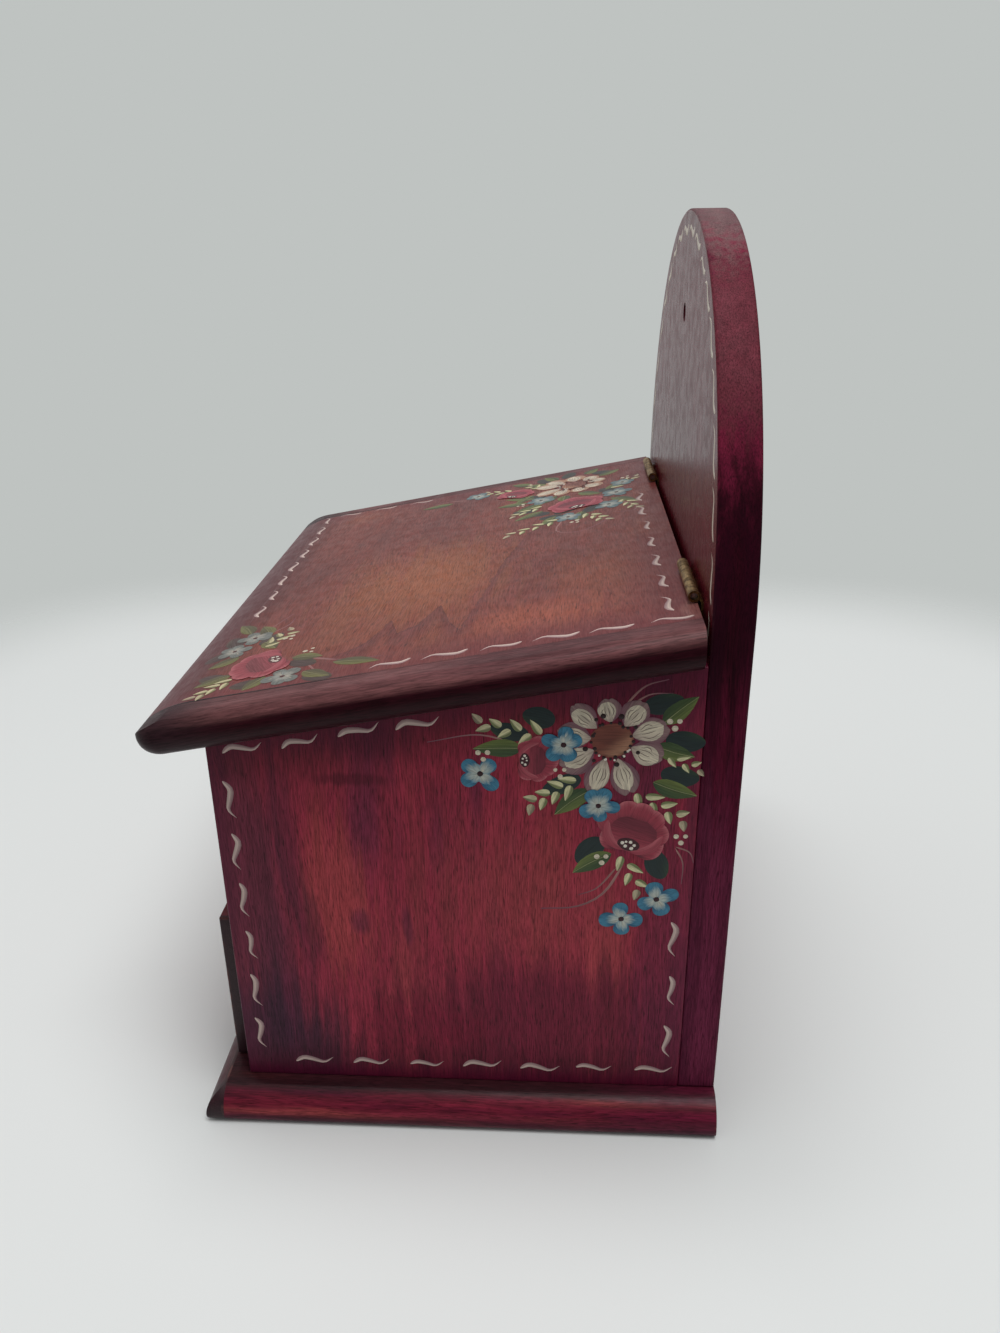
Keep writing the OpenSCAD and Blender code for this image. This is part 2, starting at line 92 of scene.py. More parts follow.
def lidOutline():
    # fall of the lid's top: (distance along the slope, height) in millimetres from the top back edge
    upper = [v.co for v in nodes["lid_panel"].data.vertices if v.co.dot(lidUp) > (lidUnder + lidTop) / 2]
    spots = {(round((p.dot(lidRun) - lidBackRun) / mm, 2), round((p.dot(lidUp) - lidTop) / mm, 3))
             for p in upper}
    outline = []
    for spot in sorted(spots):
        # a point under the line between its neighbours belongs to the tongue inside
        while len(outline) > 1:
            (a, low), (b, high) = outline[-2:]
            if (b - a) * (spot[1] - high) < (high - low) * (spot[0] - b):
                break
            outline.pop()
        outline.append(spot)
    return outline


lidFall = lidOutline()


def lidDrop(run):
    for (a, low), (b, high) in zip(lidFall, lidFall[1:]):
        if a <= run <= b and b > a:
            return low + (high - low) * (run - a) / (b - a)
    return lidFall[0][1] if run < lidFall[0][0] else 0.0


print("lid slope %.2f degrees, front edge %.1f mm below the top" % (math.degrees(slope), -lidFall[0][1]))


# Small helpers for node trees
def linear(*tint):
    return tuple(c / 255 / 12.92 if c < 11 else ((c / 255 + 0.055) / 1.055) ** 2.4 for c in tint) + (1.0,)


def feed(tree, port, value):
    value = getattr(value, "socket", value)
    if isinstance(value, bpy.types.NodeSocket):
        tree.links.new(value, port)
    else:
        port.default_value = value


def addNode(tree, kind, values=None, **settings):
    node = tree.nodes.new(kind)
    for key, value in settings.items():
        setattr(node, key, value)
    for key, value in (values or {}).items():
        feed(tree, node.inputs[key], value)
    return node


class nodeValue:
    # a socket of a node tree that takes plain sums
    def __init__(self, tree, socket):
        self.tree, self.socket = tree, socket

    def make(self, kind, values, port=0, **settings):
        return nodeValue(self.tree, addNode(self.tree, kind, values, **settings).outputs[port])

    def sum(self, operation, first, second=0.5):
        return self.make("ShaderNodeMath", {0: first, 1: second}, operation=operation)

    def __add__(self, other):
        return self.sum("ADD", self, other)

    def __sub__(self, other):
        return self.sum("SUBTRACT", self, other)

    def __rsub__(self, other):
        return self.sum("SUBTRACT", other, self)

    def __mul__(self, other):
        return self.sum("MULTIPLY", self, other)

    def __abs__(self):
        return self.sum("ABSOLUTE", self)

    def least(self, other):
        return self.sum("MINIMUM", self, other)

    def most(self, other):
        return self.sum("MAXIMUM", self, other)

    def vector(self, operation, other):
        port = "Value" if operation in ("DOT_PRODUCT", "DISTANCE") else "Vector"
        return self.make("ShaderNodeVectorMath", {0: self, 1: other}, port, operation=operation)

    def dot(self, other):
        return self.vector("DOT_PRODUCT", other)

    def stretch(self, other):
        return self.vector("MULTIPLY", other)

    def ease(self, start, end, low=0.0, high=1.0):
        values = {"Value": self, "From Min": start, "From Max": end, "To Min": low, "To Max": high}
        return self.make("ShaderNodeMapRange", values, interpolation_type="SMOOTHSTEP")

    def noise(self, scale=1.0, detail=2.0, roughness=0.5, port=0):
        values = {"Vector": self, "Scale": scale, "Detail": detail, "Roughness": roughness}
        return self.make("ShaderNodeTexNoise", values, port)

    def tinted(self, amount, tint, mode="MIX"):
        return blend(self.tree, amount, self, tint, mode)


def blend(tree, amount, first, second, mode="MIX"):
    values = {0: amount, 6: first, 7: second}
    node = addNode(tree, "ShaderNodeMix", values, data_type="RGBA", blend_type=mode)
    return nodeValue(tree, node.outputs[2])


def newFinish(name):
    material = bpy.data.materials.new(name)
    material.use_nodes = True
    tree = material.node_tree
    return material, tree, nodeValue(tree, addNode(tree, "ShaderNodeTexCoord").outputs["Object"])


def setShader(material, colour, rough, height, bump, depth, constants):
    tree = material.node_tree
    relief = addNode(tree, "ShaderNodeBump", {"Height": height, "Strength": bump, "Distance": depth * mm})
    ports = dict(constants, **{"Base Color": colour, "Roughness": rough, "Normal": relief.outputs[0]})
    for port, value in ports.items():
        feed(tree, tree.nodes["Principled BSDF"].inputs[port], value)
    return material


# Planes that bound a board, in pairs, for the wear along its edges
def boxPlanes(node):
    low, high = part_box(node)
    return [((axis, high[k]), (-axis, -low[k])) for k, axis in enumerate((ax, ay, az))]


def lidPlanes(node):
    pairs = boxPlanes(node)[:1]
    for direction in (lidRun, lidUp):
        start, end = spanAlong(node, direction)
        pairs.append(((direction, end), (-direction, -start)))
    return pairs


def sidePlanes(node):
    pairs = boxPlanes(node)
    pairs[2] = ((lidUp, spanAlong(node, lidUp)[1]), pairs[2][1])
    return pairs


def edgeDistance(place, planes):
    # distance from a face point to the nearest edge of its board: the middle one of the three gaps
    gaps = []
    for pair in planes:
        near, far = [offset - place.dot(normal) for normal, offset in pair]
        gaps.append(near.least(far))
    small, large = gaps[0].least(gaps[1]), gaps[0].most(gaps[1])
    return small.most(large.least(gaps[2]))


# Stained wood: what a board's look says beyond this is set beside the board
plainWood = {
    "shift": (0, 0, 0), "bend": 9.0, "cloudSize": (0.009, 0.045, 0.045),
    "stainAndLightPatches": (), "bands": (), "seams": (),
    "streaks": (0.82, 1.16), "fibres": (0.66, 1.28), "ticks": 0.7, "dust": 0.5,
    "rim": {"width": 11, "amount": 0.45, "tint": (52, 18, 30)},
    "rub": {"width": 1.1, "amount": 0.35, "tint": (150, 92, 84)},
    "roughness": 0.36, "shine": 0.27, "coat": 0.04, "relief": 0.22,
}
figure = {"sway": (0.007, 0.02, 0.02), "streak": (0.014, 0.30, 0.30), "fibre": (0.15, 2.3, 2.3),
          "tick": (0.24, 3.0, 3.0), "patch": 0.16, "rimStray": 9,
          "tickTint": (0.28, 0.22, 0.26, 1), "seamTint": (14, 5, 8)}
dust = {"scale": 120.0, "size": (0.045, 0.02), "share": 0.90, "tint": (176, 160, 156)}
varnish = {"coatRoughness": 0.2, "reliefDepth": 0.25}


def pool(at, size, tint, strength, core=0.45, stray=1.2, turn=0.0):
    # a soft-edged patch of tint, used for stains, worn places and painted sheen: middle and reach in
    # millimetres
    return {"at": Vector(at) * mm, "size": Vector(size) * mm, "tint": linear(*tint), "strength": strength,
            "core": core, "stray": stray, "turn": (turn, 0, 0)}


def band(way, start, end, strength, tint, stray=3.0, base=0.0):
    # a tint that grows from start to end along a direction, in millimetres from the base
    return {"way": way, "start": base + start * mm, "end": base + end * mm, "strength": strength,
            "tint": linear(*tint), "stray": stray * mm}


def growthLine(stain, place, grain, growth):
    # one growth line across the face, a step darker on its near side
    tree = place.tree
    ports = addNode(tree, "ShaderNodeSeparateXYZ", {0: place}).outputs
    across, along = [nodeValue(tree, port) for port in ports[:2]]
    first, last = growth["line"][0][0] * mm, growth["line"][-1][0] * mm
    low, high = growth["span"]
    wander = (grain.noise(0.3, 3.0, 0.6) - 0.5) * (growth["wander"] * mm)
    curve = addNode(tree, "ShaderNodeFloatCurve", {"Value": (along + wander).ease(first, last)})
    points = curve.mapping.curves[0].points
    while len(points) < len(growth["line"]):
        points.new(0.5, 0.5)
    for point, (y, x) in zip(points, growth["line"]):
        point.location = ((y * mm - first) / (last - first), (x - low) / (high - low))
        point.handle_type = "VECTOR"
    curve.mapping.update()
    away = across - (nodeValue(tree, curve.outputs[0]) * ((high - low) * mm) + low * mm) + wander
    step = away.ease(-0.2 * mm, 1.0 * mm) * away.ease(growth["reach"] * mm, 2 * mm)
    startFade, endFade = growth["fades"]
    ends = along.ease(first, first + startFade * mm) * along.ease(last, last - endFade * mm)
    stain = stain.tinted(step * ends * growth["strength"], linear(*growth["tint"]))
    thin = abs(away).ease(0.9 * mm, 0.2 * mm) * ends
    return stain.tinted(thin * growth["strength"], linear(*growth["edge"]))


def woodFinish(name, look):
    look = dict(plainWood, **look)
    material, tree, place = newFinish(name)
    # grain space in millimetres: x runs along the grain
    grain = place.make("ShaderNodeMapping", {"Vector": place, "Rotation": look["turn"],
                                             "Scale": (1000, 1000, 1000), "Location": look["shift"]})
    sway = grain.stretch(figure["sway"]).noise(port=1).vector("SUBTRACT", (0.5, 0.5, 0.5))
    grain = grain.vector("ADD", sway.stretch((0, look["bend"], look["bend"])))
    cloud = grain.stretch(look["cloudSize"]).noise(1.0, 3.0)
    streak = grain.stretch(figure["streak"]).noise(1.0, 3.0, 0.6)
    fibre = grain.stretch(figure["fibre"]).noise(1.0, 4.0, 0.62)
    tick = grain.stretch(figure["tick"]).noise(1.0, 1.5)
    patchy = grain.noise(figure["patch"], 3.0, 0.6)
    stray = streak - 0.5
    # stain: dark patches, body colour, thin warm places
    stain = blend(tree, cloud.ease(0.30, 0.50), linear(*look["dark"]), linear(*look["mid"]))
    stain = stain.tinted(cloud.ease(0.50, 0.70), linear(*look["warm"]))
    for spot in look["stainAndLightPatches"]:
        values = {"Vector": place, "Location": spot["at"], "Rotation": spot["turn"], "Scale": spot["size"]}
        away = place.make("ShaderNodeMapping", values, vector_type="TEXTURE")
        away = away.vector("DISTANCE", (0, 0, 0)) + stray * spot["stray"]
        stain = stain.tinted(away.ease(1.0, spot["core"]) * spot["strength"], spot["tint"])
    if "growth" in look:
        stain = growthLine(stain, place, grain, look["growth"])
    for strip in look["bands"]:
        across = place.dot(strip["way"]) + stray * strip["stray"]
        stain = stain.tinted(across.ease(strip["start"], strip["end"], 0.0, strip["strength"]), strip["tint"])
    stain = stain.tinted(1.0, streak.ease(0.28, 0.72, *look["streaks"]), "MULTIPLY")
    stain = stain.tinted(1.0, fibre.ease(0.30, 0.68, *look["fibres"]), "MULTIPLY")
    stain = stain.tinted(tick.ease(0.56, 0.70) * look["ticks"], figure["tickTint"], "MULTIPLY")
    # edges: stain gathers near them, and the very edge is rubbed
    gap = edgeDistance(place, look["planes"])
    rim, rub = look["rim"], look["rub"]
    edge = gap + stray * (figure["rimStray"] * mm)
    stain = stain.tinted(edge.ease(rim["width"] * mm, 0.0, 0.0, rim["amount"]), linear(*rim["tint"]))
    worn = gap.ease(rub["width"] * mm, 0.15 * mm) * patchy.ease(0.50, 0.66, 0.0, rub["amount"])
    stain = stain.tinted(worn, linear(*rub["tint"]))
    for seam in look["seams"]:
        away = abs(place.dot(seam["way"]) - seam["at"])
        amount = away.ease(seam["width"] * mm, 0.3 * seam["width"] * mm) * patchy.ease(0.3, 0.6, 0.7, 1.0)
        stain = stain.tinted(amount * place.dot(lidRun).ease(*seam["open"]), linear(*figure["seamTint"]))
    # dust: a few pale specks caught in the varnish
    cells = addNode(tree, "ShaderNodeTexVoronoi", {"Vector": place, "Scale": dust["scale"]}).outputs
    chosen = place.make("ShaderNodeSeparateColor", {0: cells["Color"]})
    speck = nodeValue(tree, cells["Distance"]).ease(*dust["size"])
    speck = speck * chosen.sum("GREATER_THAN", chosen, dust["share"])
    stain = stain.tinted(speck * look["dust"], linear(*dust["tint"]))
    if "veil" in look:
        stain = stain.tinted(look["veil"]["strength"], linear(*look["veil"]["tint"]))
    gloss = look["roughness"]
    rough = fibre.ease(0.30, 0.70, gloss + 0.06, gloss - 0.05) + patchy.ease(0.35, 0.70, -0.03, 0.07)
    rough = rough + worn * 0.2
    constants = {"Specular IOR Level": look["shine"], "Coat Weight": look["coat"],
                 "Coat Roughness": varnish["coatRoughness"]}
    height = fibre * 0.7 + tick * -0.35
    return setShader(material, stain, rough, height, look["relief"], varnish["reliefDepth"], constants)


# Easing of a board's long edges, in millimetres and degrees
easing = {"merge": 0.002, "flat": 0.4, "shortest": 5, "sharp": 40, "segments": 4, "flatFace": 900,
          "smooth": 32}


def softBoard(name, body, node, round, material, chosen=None):
    # the solid's own shape with its long edges eased
    source = nodes[node].data
    build = bmesh.new()
    points = [build.verts.new(v.co) for v in source.vertices]
    for face in source.polygons:
        build.faces.new([points[k] for k in face.vertices])
    bmesh.ops.remove_doubles(build, verts=build.verts, dist=easing["merge"] * mm)
    bmesh.ops.dissolve_limit(build, angle_limit=math.radians(easing["flat"]), verts=build.verts,
                             edges=build.edges)
    chosen = chosen or (lambda edge: edge.calc_length() > easing["shortest"] * mm)
    sharp = [e for e in build.edges
             if e.is_manifold and e.calc_face_angle() > math.radians(easing["sharp"]) and chosen(e)]
    bmesh.ops.bevel(build, geom=sharp, offset=round * mm, offset_type="OFFSET", segments=easing["segments"],
                    profile=0.5, affect="EDGES", clamp_overlap=True)
    for face in build.faces:
        face.smooth = face.calc_area() < easing["flatFace"] * mm * mm
    for edge in build.edges:
        edge.smooth = not edge.is_manifold or edge.calc_face_angle() < math.radians(easing["smooth"])
    mesh = bpy.data.meshes.new(name)
    build.to_mesh(mesh)
    build.free()
    mesh.materials.append(material)
    piece = bpy.data.objects.new(name, mesh)
    scene.collection.objects.link(piece)
    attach(piece, body)
    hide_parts(node)
    return piece


# Side boards: upright grain, darker low at the front
sides = {
    "round": 0.4,
    "shifts": {"right": (0, 0, 0), "left": (260, 40, 0)},
    "look": {"turn": (0, quarterTurn, 0), "dark": (102, 30, 56), "mid": (142, 40, 60), "warm": (152, 56, 64),
             "shine": 0.13, "ticks": 0.75, "cloudSize": (0.008, 0.05, 0.05),
             "rim": {"width": 10, "amount": 0.4, "tint": (88, 22, 52)},
             "rub": {"width": 0.7, "amount": 0.12, "tint": (124, 64, 70)},
             "bands": [band(az, 34, 13.5, 0.75, (70, 10, 32), 4.0),
                       # painted shade: this band darkens the top of each side, under the lid's overhang
                       band(lidUp, -22, -2, 0.6, (62, 10, 28), 5.0, base=sideTop)],
             "stainAndLightPatches": [pool((0, 26, 92), (400, 52, 46), (158, 64, 68), 0.65, core=0.1),
                       pool((0, 30, 38), (400, 64, 38), (106, 24, 48), 0.93, core=0.5, stray=0.8),
                       pool((0, -38, 90), (400, 16, 42), (172, 68, 68), 0.6, turn=0.08),
                       pool((0, -14, 34), (400, 28, 22), (116, 20, 47), 0.75),
                       pool((0, -70, 96), (400, 21, 74), (92, 37, 56), 0.8, core=0.5, stray=0.5, turn=0.05),
                       pool((0, -54, 112), (400, 6.5, 44), (74, 26, 50), 0.5, turn=0.06),
                       pool((0, -47, 76), (400, 4.5, 19), (68, 24, 44), 0.45, turn=0.06),
                       pool((0, -31.4, 80), (400, 5, 7.5), (92, 30, 56), 0.6, stray=0.7),
                       pool((0, -15.8, 79), (400, 2.6, 12), (84, 24, 50), 0.6, stray=0.6, turn=0.1),
                       pool((0, -30, 134), (400, 15, 3.2), (84, 14, 34), 0.7, stray=0.9),
                       pool((0, -26, 147), (400, 18, 9), (96, 24, 52), 0.5),
                       pool((0, -84, 6), (400, 64, 70), (60, 27, 48), 0.92, core=0.64, stray=0.45),
                       pool((0, 70, 60), (400, 16, 70), (104, 28, 58), 0.6)]},
}
for side, shift in sides["shifts"].items():
    look = dict(sides["look"], planes=sidePlanes(side + "_side"), shift=shift)
    stain = woodFinish("stain%sSide" % side.title(), look)
    softBoard(side + "SideBoard", "box", side + "_side", sides["round"], stain)
print("sides made")

# Back board: arched, with the hanging hole; its flat faces are paler and glossier than its edge
backBoard = {
    "round": 1.0,
    "look": {"turn": (0, quarterTurn, 0), "shift": (500, 0, 80), "dark": (66, 12, 34), "mid": (84, 16, 40),
             "warm": (106, 26, 50), "shine": 0.06, "coat": 0.0, "roughness": 0.55,
             "stainAndLightPatches": [pool((0, 83, 60), (400, 40, 84), (108, 40, 66), 0.75, core=0.6),
                       pool((114, 83, 196), (22, 40, 56), (38, 4, 15), 0.9, core=0.4),
                       pool((-114, 83, 196), (22, 40, 56), (38, 4, 15), 0.9, core=0.4),
                       pool((0, 83, 262), (400, 40, 30), (106, 46, 56), 0.8),
                       pool((0, 74, 196), (108, 8, 46), (60, 12, 18), 0.8, core=0.4),
                       # painted sheen and wear: pale grey at the top of the arch
                       pool((30, 83, 304), (90, 40, 30), (126, 102, 102), 0.85, core=0.2)],
             "rim": {"width": 9, "amount": 0.3, "tint": (50, 10, 32)},
             "rub": {"width": 0.9, "amount": 0.2, "tint": (132, 84, 92)},
             "planes": boxPlanes("back_board")},
    "face": {"shine": 0.145, "roughness": 0.24, "veil": {"tint": (102, 26, 35), "strength": 0.55}},
    "rimReach": 0.6,
    "flatShare": 0.95,
}


def onArchRim(edge):
    mid = (edge.verts[0].co + edge.verts[1].co) / 2
    away = math.hypot(mid.x, mid.z - archSpringZ) if mid.z > archSpringZ else abs(mid.x)
    return away > archRadius - backBoard["rimReach"] * mm


archedBoard = softBoard("archedBackBoard", "box", "back_board", backBoard["round"],
                        woodFinish("stainBackBoard", backBoard["look"]), onArchRim)
archedBoard.data.materials.append(woodFinish("stainBackFace", dict(backBoard["look"], **backBoard["face"])))
for face in archedBoard.data.polygons:
    face.material_index = int(abs(face.normal.y) > backBoard["flatShare"])
print("back board made")

# Base: rounded edge, grain front to back, and its front lipping
base = {
    "round": 0.4,
    "plate": {"turn": (0, 0, -quarterTurn), "dark": (80, 18, 40), "mid": (112, 30, 48), "warm": (146, 60, 60),
              "roughness": 0.4, "shine": 0.13, "streaks": (0.66, 1.3), "cloudSize": (0.012, 0.16, 0.16),
              # painted shade and dust: the first band darkens and greys the top of the base, under the lid
              "bands": [band(az, 10.9, 12.2, 0.9, (42, 22, 26), 0.8),
                        band(ay, 30, 88, 0.7, (84, 18, 42), 20),
                        band(az, 6.5, 2.5, 0.75, (70, 20, 44), 2.0)],
              "rim": {"width": 6, "amount": 0.1, "tint": (58, 20, 30)},
              "planes": boxPlanes("base_plate")},
    "lipping": {"turn": (0, 0, 0), "dark": (50, 18, 28), "mid": (76, 24, 36), "warm": (96, 32, 42),
                "roughness": 0.42,
                "bands": [band(az, 10.9, 12.2, 0.8, (84, 64, 62), 0.8)]
                + [band(way, 115, 121, 0.75, (40, 26, 30), 2.0) for way in (ax, -ax)],
                "rim": {"width": 5, "amount": 0.5, "tint": (36, 16, 24)},
                "planes": boxPlanes("base_front_strip")},
}
softBoard("basePlateBoard", "box", "base_plate", base["round"], woodFinish("stainBase", base["plate"]))
softBoard("baseFrontLipping", "box", "base_front_strip", base["round"],
          woodFinish("stainBaseLipping", base["lipping"]))
print("base made")

# Lid: panel with grain along the width, a strip at each end
seamOpen = (lidFrontRun + 90 * mm, lidFrontRun + 50 * mm, 0.25, 1.0)  # wider open towards the front
seams = [{"way": way, "at": lidSeamX, "width": 0.8, "open": seamOpen} for way in (ax, -ax)]
lid = {
    "round": 0.5,
    "shifts": {"right": (0, 0, 0), "left": (300, 0, 0)},
    "panel": {"turn": (-slope, 0, 0), "dark": (98, 46, 43), "mid": (112, 53, 46), "warm": (126, 68, 50),
              "bend": 16.0, "shine": 0.18, "cloudSize": (0.009, 0.016, 0.016), "streaks": (0.88, 1.12),
              "fibres": (0.72, 1.22), "ticks": 0.75,
              "stainAndLightPatches": [pool((24, -16, 169), (66, 48, 60), (146, 84, 53), 0.75, core=0.1),
                        pool((50, 44, 181), (40, 26, 40), (136, 72, 50), 0.5, core=0.1),
                        pool((84, 26, 178), (24, 36, 40), (146, 76, 58), 0.8, core=0.1),
                        pool((99, 74, 186), (9, 7, 22), (190, 146, 132), 0.85, stray=1.6)],
              "growth": {"line": [(-48, 92), (-38, 82), (-32, 64), (-27, 78), (-19, 73), (-9.5, 57), (-2, 76),
                                  (4, 84), (11.5, 55), (18.5, 22), (29, -14), (40, -34)],
                         "span": (-50, 110), "reach": 26, "wander": 2.4, "fades": (14, 24), "strength": 0.7,
                         "tint": (98, 46, 46), "edge": (66, 28, 34)},
              "bands": [band(ax, 80, 100, 0.45, (106, 48, 46), 50),
                        band(-lidRun, -30, -8, 0.85, (58, 22, 28), 6.0, base=-lidFrontRun)],
              "seams": seams, "rim": {"width": 26, "amount": 0.6, "tint": (98, 38, 46)},
              "planes": lidPlanes("lid_panel")},
    "strip": {"turn": (-slope, 0, -quarterTurn), "dark": (84, 50, 53), "mid": (104, 65, 66),
              "warm": (118, 78, 76), "ticks": 0.5, "shine": 0.09, "coat": 0.0,
              "bands": [band(lidUp, -1.6, -4.4, 0.97, (40, 6, 16), 1.6, base=lidTop),
                        band(-lidRun, -38, -8, 0.95, (46, 28, 33), base=-lidFrontRun)],
              "seams": seams, "rim": {"width": 4, "amount": 0.1, "tint": (50, 16, 26)}},
}
softBoard("lidPanelBoard", "lid", "lid_panel", lid["round"], woodFinish("stainLid", lid["panel"]))
for side, shift in lid["shifts"].items():
    node, label = "lid_%s_strip" % side, "%sStrip" % side.title()
    look = dict(lid["strip"], planes=lidPlanes(node), shift=shift)
    softBoard("lid" + label, "lid", node, lid["round"], woodFinish("stainLid" + label, look))
print("lid made")

# Front board and drawer front: grain along the width
front = {
    "round": 0.6,
    "board": {"turn": (0, 0, 0), "shift": (90, 30, 0), "dark": (96, 22, 50), "mid": (134, 30, 50),
              "warm": (160, 52, 58), "shine": 0.2, "planes": boxPlanes("front_board")},
    "drawer": {"turn": (0, 0, 0), "shift": (700, 10, 0), "dark": (94, 22, 48), "mid": (130, 30, 50),
               "warm": (156, 52, 58), "shine": 0.2, "planes": boxPlanes("drawer_front"),
               # painted shade and reflection, with end grain: both ends of the drawer front dark grey
               "bands": [band(way, -2.2, -0.5, 0.95, (40, 36, 38), 1.0, base=drawerHigh.x)
                         for way in (ax, -ax)]},
}
softBoard("upperFrontBoard", "box", "front_board", front["round"], woodFinish("stainFront", front["board"]))
softBoard("drawerFrontBoard", "drawer", "drawer_front", front["round"],
          woodFinish("stainDrawer", front["drawer"]))
print("front made")


# Thinly stained wood inside, the turned knob, brass and steel
def dress(node, material):
    piece = nodes[node]
    if not piece.material_slots:
        piece.data.materials.append(material)
    for slot in piece.material_slots:
        slot.material = material


inside = {
    "x": {"turn": (0, 0, 0), "dark": (146, 96, 72), "mid": (170, 118, 92), "warm": (186, 136, 106)},
    "y": {"turn": (0, 0, -quarterTurn), "dark": (144, 94, 70), "mid": (168, 116, 90),
          "warm": (184, 134, 104)},
    "shared": {"roughness": 0.55, "coat": 0.0, "streaks": (0.88, 1.06), "fibres": (0.84, 1.08),
               "ticks": 0.25, "dust": 0.0,
               "rim": {"width": 5, "amount": 0.35, "tint": (118, 70, 52)},
               "rub": {"width": 0.8, "amount": 0.3, "tint": (110, 72, 56)}},
    "grain": {"shelf": "x", "drawer_back": "x", "drawer_bottom": "x",
              "drawer_right_side": "y", "drawer_left_side": "y"},
}
for node, way in inside["grain"].items():
    dress(node, woodFinish("inside_" + node, dict(inside["shared"], planes=boxPlanes(node), **inside[way])))

knob = {"turn": (0, 0, -quarterTurn), "dark": (78, 16, 40), "mid": (112, 26, 44), "warm": (136, 44, 52),
        "roughness": 0.28, "coat": 0.3, "rim": {"width": 3, "amount": 0.3, "tint": (56, 18, 28)},
        "planes": boxPlanes("drawer_knob")}
dress("drawer_knob", woodFinish("stainKnob", knob))

hingeLeaves = [side + leaf for side in ("right", "left") for leaf in ("_hinge_back_leaf", "_hinge_lid_leaf")]
metals = {
    "agedBrass": {"dull": (108, 84, 52), "bright": (178, 146, 94), "mottleScale": 420,
                  "scratchWay": (300, 2600, 2600), "rough": 0.40,
                  "nodes": hingeLeaves + ["hinge_back_screws", "hinge_lid_screws"]},
    "dullSteel": {"dull": (96, 92, 88), "bright": (168, 166, 162), "mottleScale": 600,
                  "scratchWay": (2400, 2400, 900), "rough": 0.34,
                  "nodes": ["right_hinge_pin", "left_hinge_pin", "knob_screw", "drawer_brads",
                            "base_screws", "back_nails"]},
}


def metalFinish(name, look):
    material, tree, place = newFinish(name)
    mottle = place.noise(look["mottleScale"], 4.0, 0.6)
    scratch = place.stretch(look["scratchWay"]).noise(1.0, 3.0, 0.6)
    tone = blend(tree, mottle.ease(0.36, 0.64), linear(*look["dull"]), linear(*look["bright"]))
    tone = tone.tinted(1.0, scratch.ease(0.3, 0.7, 0.72, 1.12), "MULTIPLY")
    rough = mottle.ease(0.3, 0.7, look["rough"] + 0.14, look["rough"] - 0.05)
    return setShader(material, tone, rough, mottle + scratch, bump=0.18, depth=0.1, constants={"Metallic": 1.0})


for name, look in metals.items():
    metal = metalFinish(name, look)
    for node in look["nodes"]:
        dress(node, metal)
print("inside, knob and metal dressed")


# Brush paint: strokes are thin domed meshes that carry their own tint
paintPot = {name: linear(*tint)[:3] for name, tint in {
    "cream": (214, 203, 180), "creamShade": (168, 150, 138), "mauve": (110, 62, 80), "white": (232, 224, 210),
    "blue": (58, 122, 150), "deepBlue": (34, 86, 118), "paleBlue": (160, 176, 174),
    "dullBlue": (98, 118, 114),
    "rose": (150, 48, 66), "roseLight": (194, 108, 116), "roseDark": (98, 22, 42), "throat": (46, 6, 18),
    "leafDark": (20, 38, 38), "leafGreen": (48, 70, 38), "leafOlive": (104, 116, 56), "drop": (212, 208, 162),
    "dropGreen": (116, 124, 80), "russet": (122, 62, 48), "tan": (172, 126, 98), "umber": (38, 14, 16),
    "stem": (160, 116, 108), "border": (206, 184, 174), "borderShade": (142, 108, 112),
    "worn": (116, 66, 58)}.items()}
coatRise = {"lift": 0.012, "layer": 0.006}  # paint over the wood, and each layer, in millimetres


def paintFinish():
    material, tree, _ = newFinish("brushPaint")
    tint = nodeValue(tree, addNode(tree, "ShaderNodeAttribute", attribute_name="paintTint").outputs["Color"])
    brush = nodeValue(tree, addNode(tree, "ShaderNodeUVMap", uv_map="strokeUv").outputs[0])
    hair = brush.stretch((1.6, 5.0, 1.0)).noise(1.0, 3.0, 0.6)
    tone = tint.tinted(1.0, hair.ease(0.28, 0.68, 0.66, 1.10), "MULTIPLY")
    constants = {"Specular IOR Level": 0.3, "Coat Weight": 0.04, "Coat Roughness": 0.2}
    rough = hair.ease(0.3, 0.7, 0.46, 0.34)
    return setShader(material, tone, rough, hair, bump=0.35, depth=0.12, constants=constants)


brushPaint = paintFinish()


def mixTint(first, second, amount):
    # a tint is a name in the paint pot or a colour
    first, second = [paintPot[tint] if isinstance(tint, str) else tint for tint in (first, second)]
    amount = min(1.0, max(0.0, amount))
    return tuple(a + (b - a) * amount for a, b in zip(first, second))


def fade(value, start, end):
    t = min(1.0, max(0.0, (value - start) / (end - start)))
    return t * t * (3 - 2 * t)


def newCoat():
    return {"points": [], "faces": [], "tints": [], "brush": []}


def layerRise(layer):
    return coatRise["lift"] + coatRise["layer"] * layer


def throughPoints(points, shares):
    knots = [Vector((x, y)) for x, y in points]
    knots = [2 * knots[0] - knots[1]] + knots + [2 * knots[-1] - knots[-2]]
    spans = len(points) - 1
    path = []
    for share in shares:
        k = min(int(share * spans), spans - 1)
        t = share * spans - k
        a, b, c, d = knots[k:k + 4]
        square = 2 * a - 5 * b + 4 * c - d
        path.append(0.5 * (2 * b + (c - a) * t + square * t * t + (3 * b - a - 3 * c + d) * t ** 3))
    return path


# how wide the brush is pressed along a stroke
press = {
    "comma": lambda u: math.sin(math.pi * u ** 0.62) ** 0.85,
    "tear": lambda u: math.sin(math.pi * u ** 0.6) ** 0.75,
    "petal": lambda u: math.sin(math.pi * u ** 1.2) ** 0.68,
    "round": lambda u: math.sin(math.pi * u ** 1.35) ** 0.42,
    "leaf": lambda u: math.sin(math.pi * u ** 0.8) ** 0.85,
    "blade": lambda u: math.sin(math.pi * u ** 0.9) ** 0.5,
    "line": lambda u: min(1.0, u / 0.12) * (1 - 0.6 * u),
}


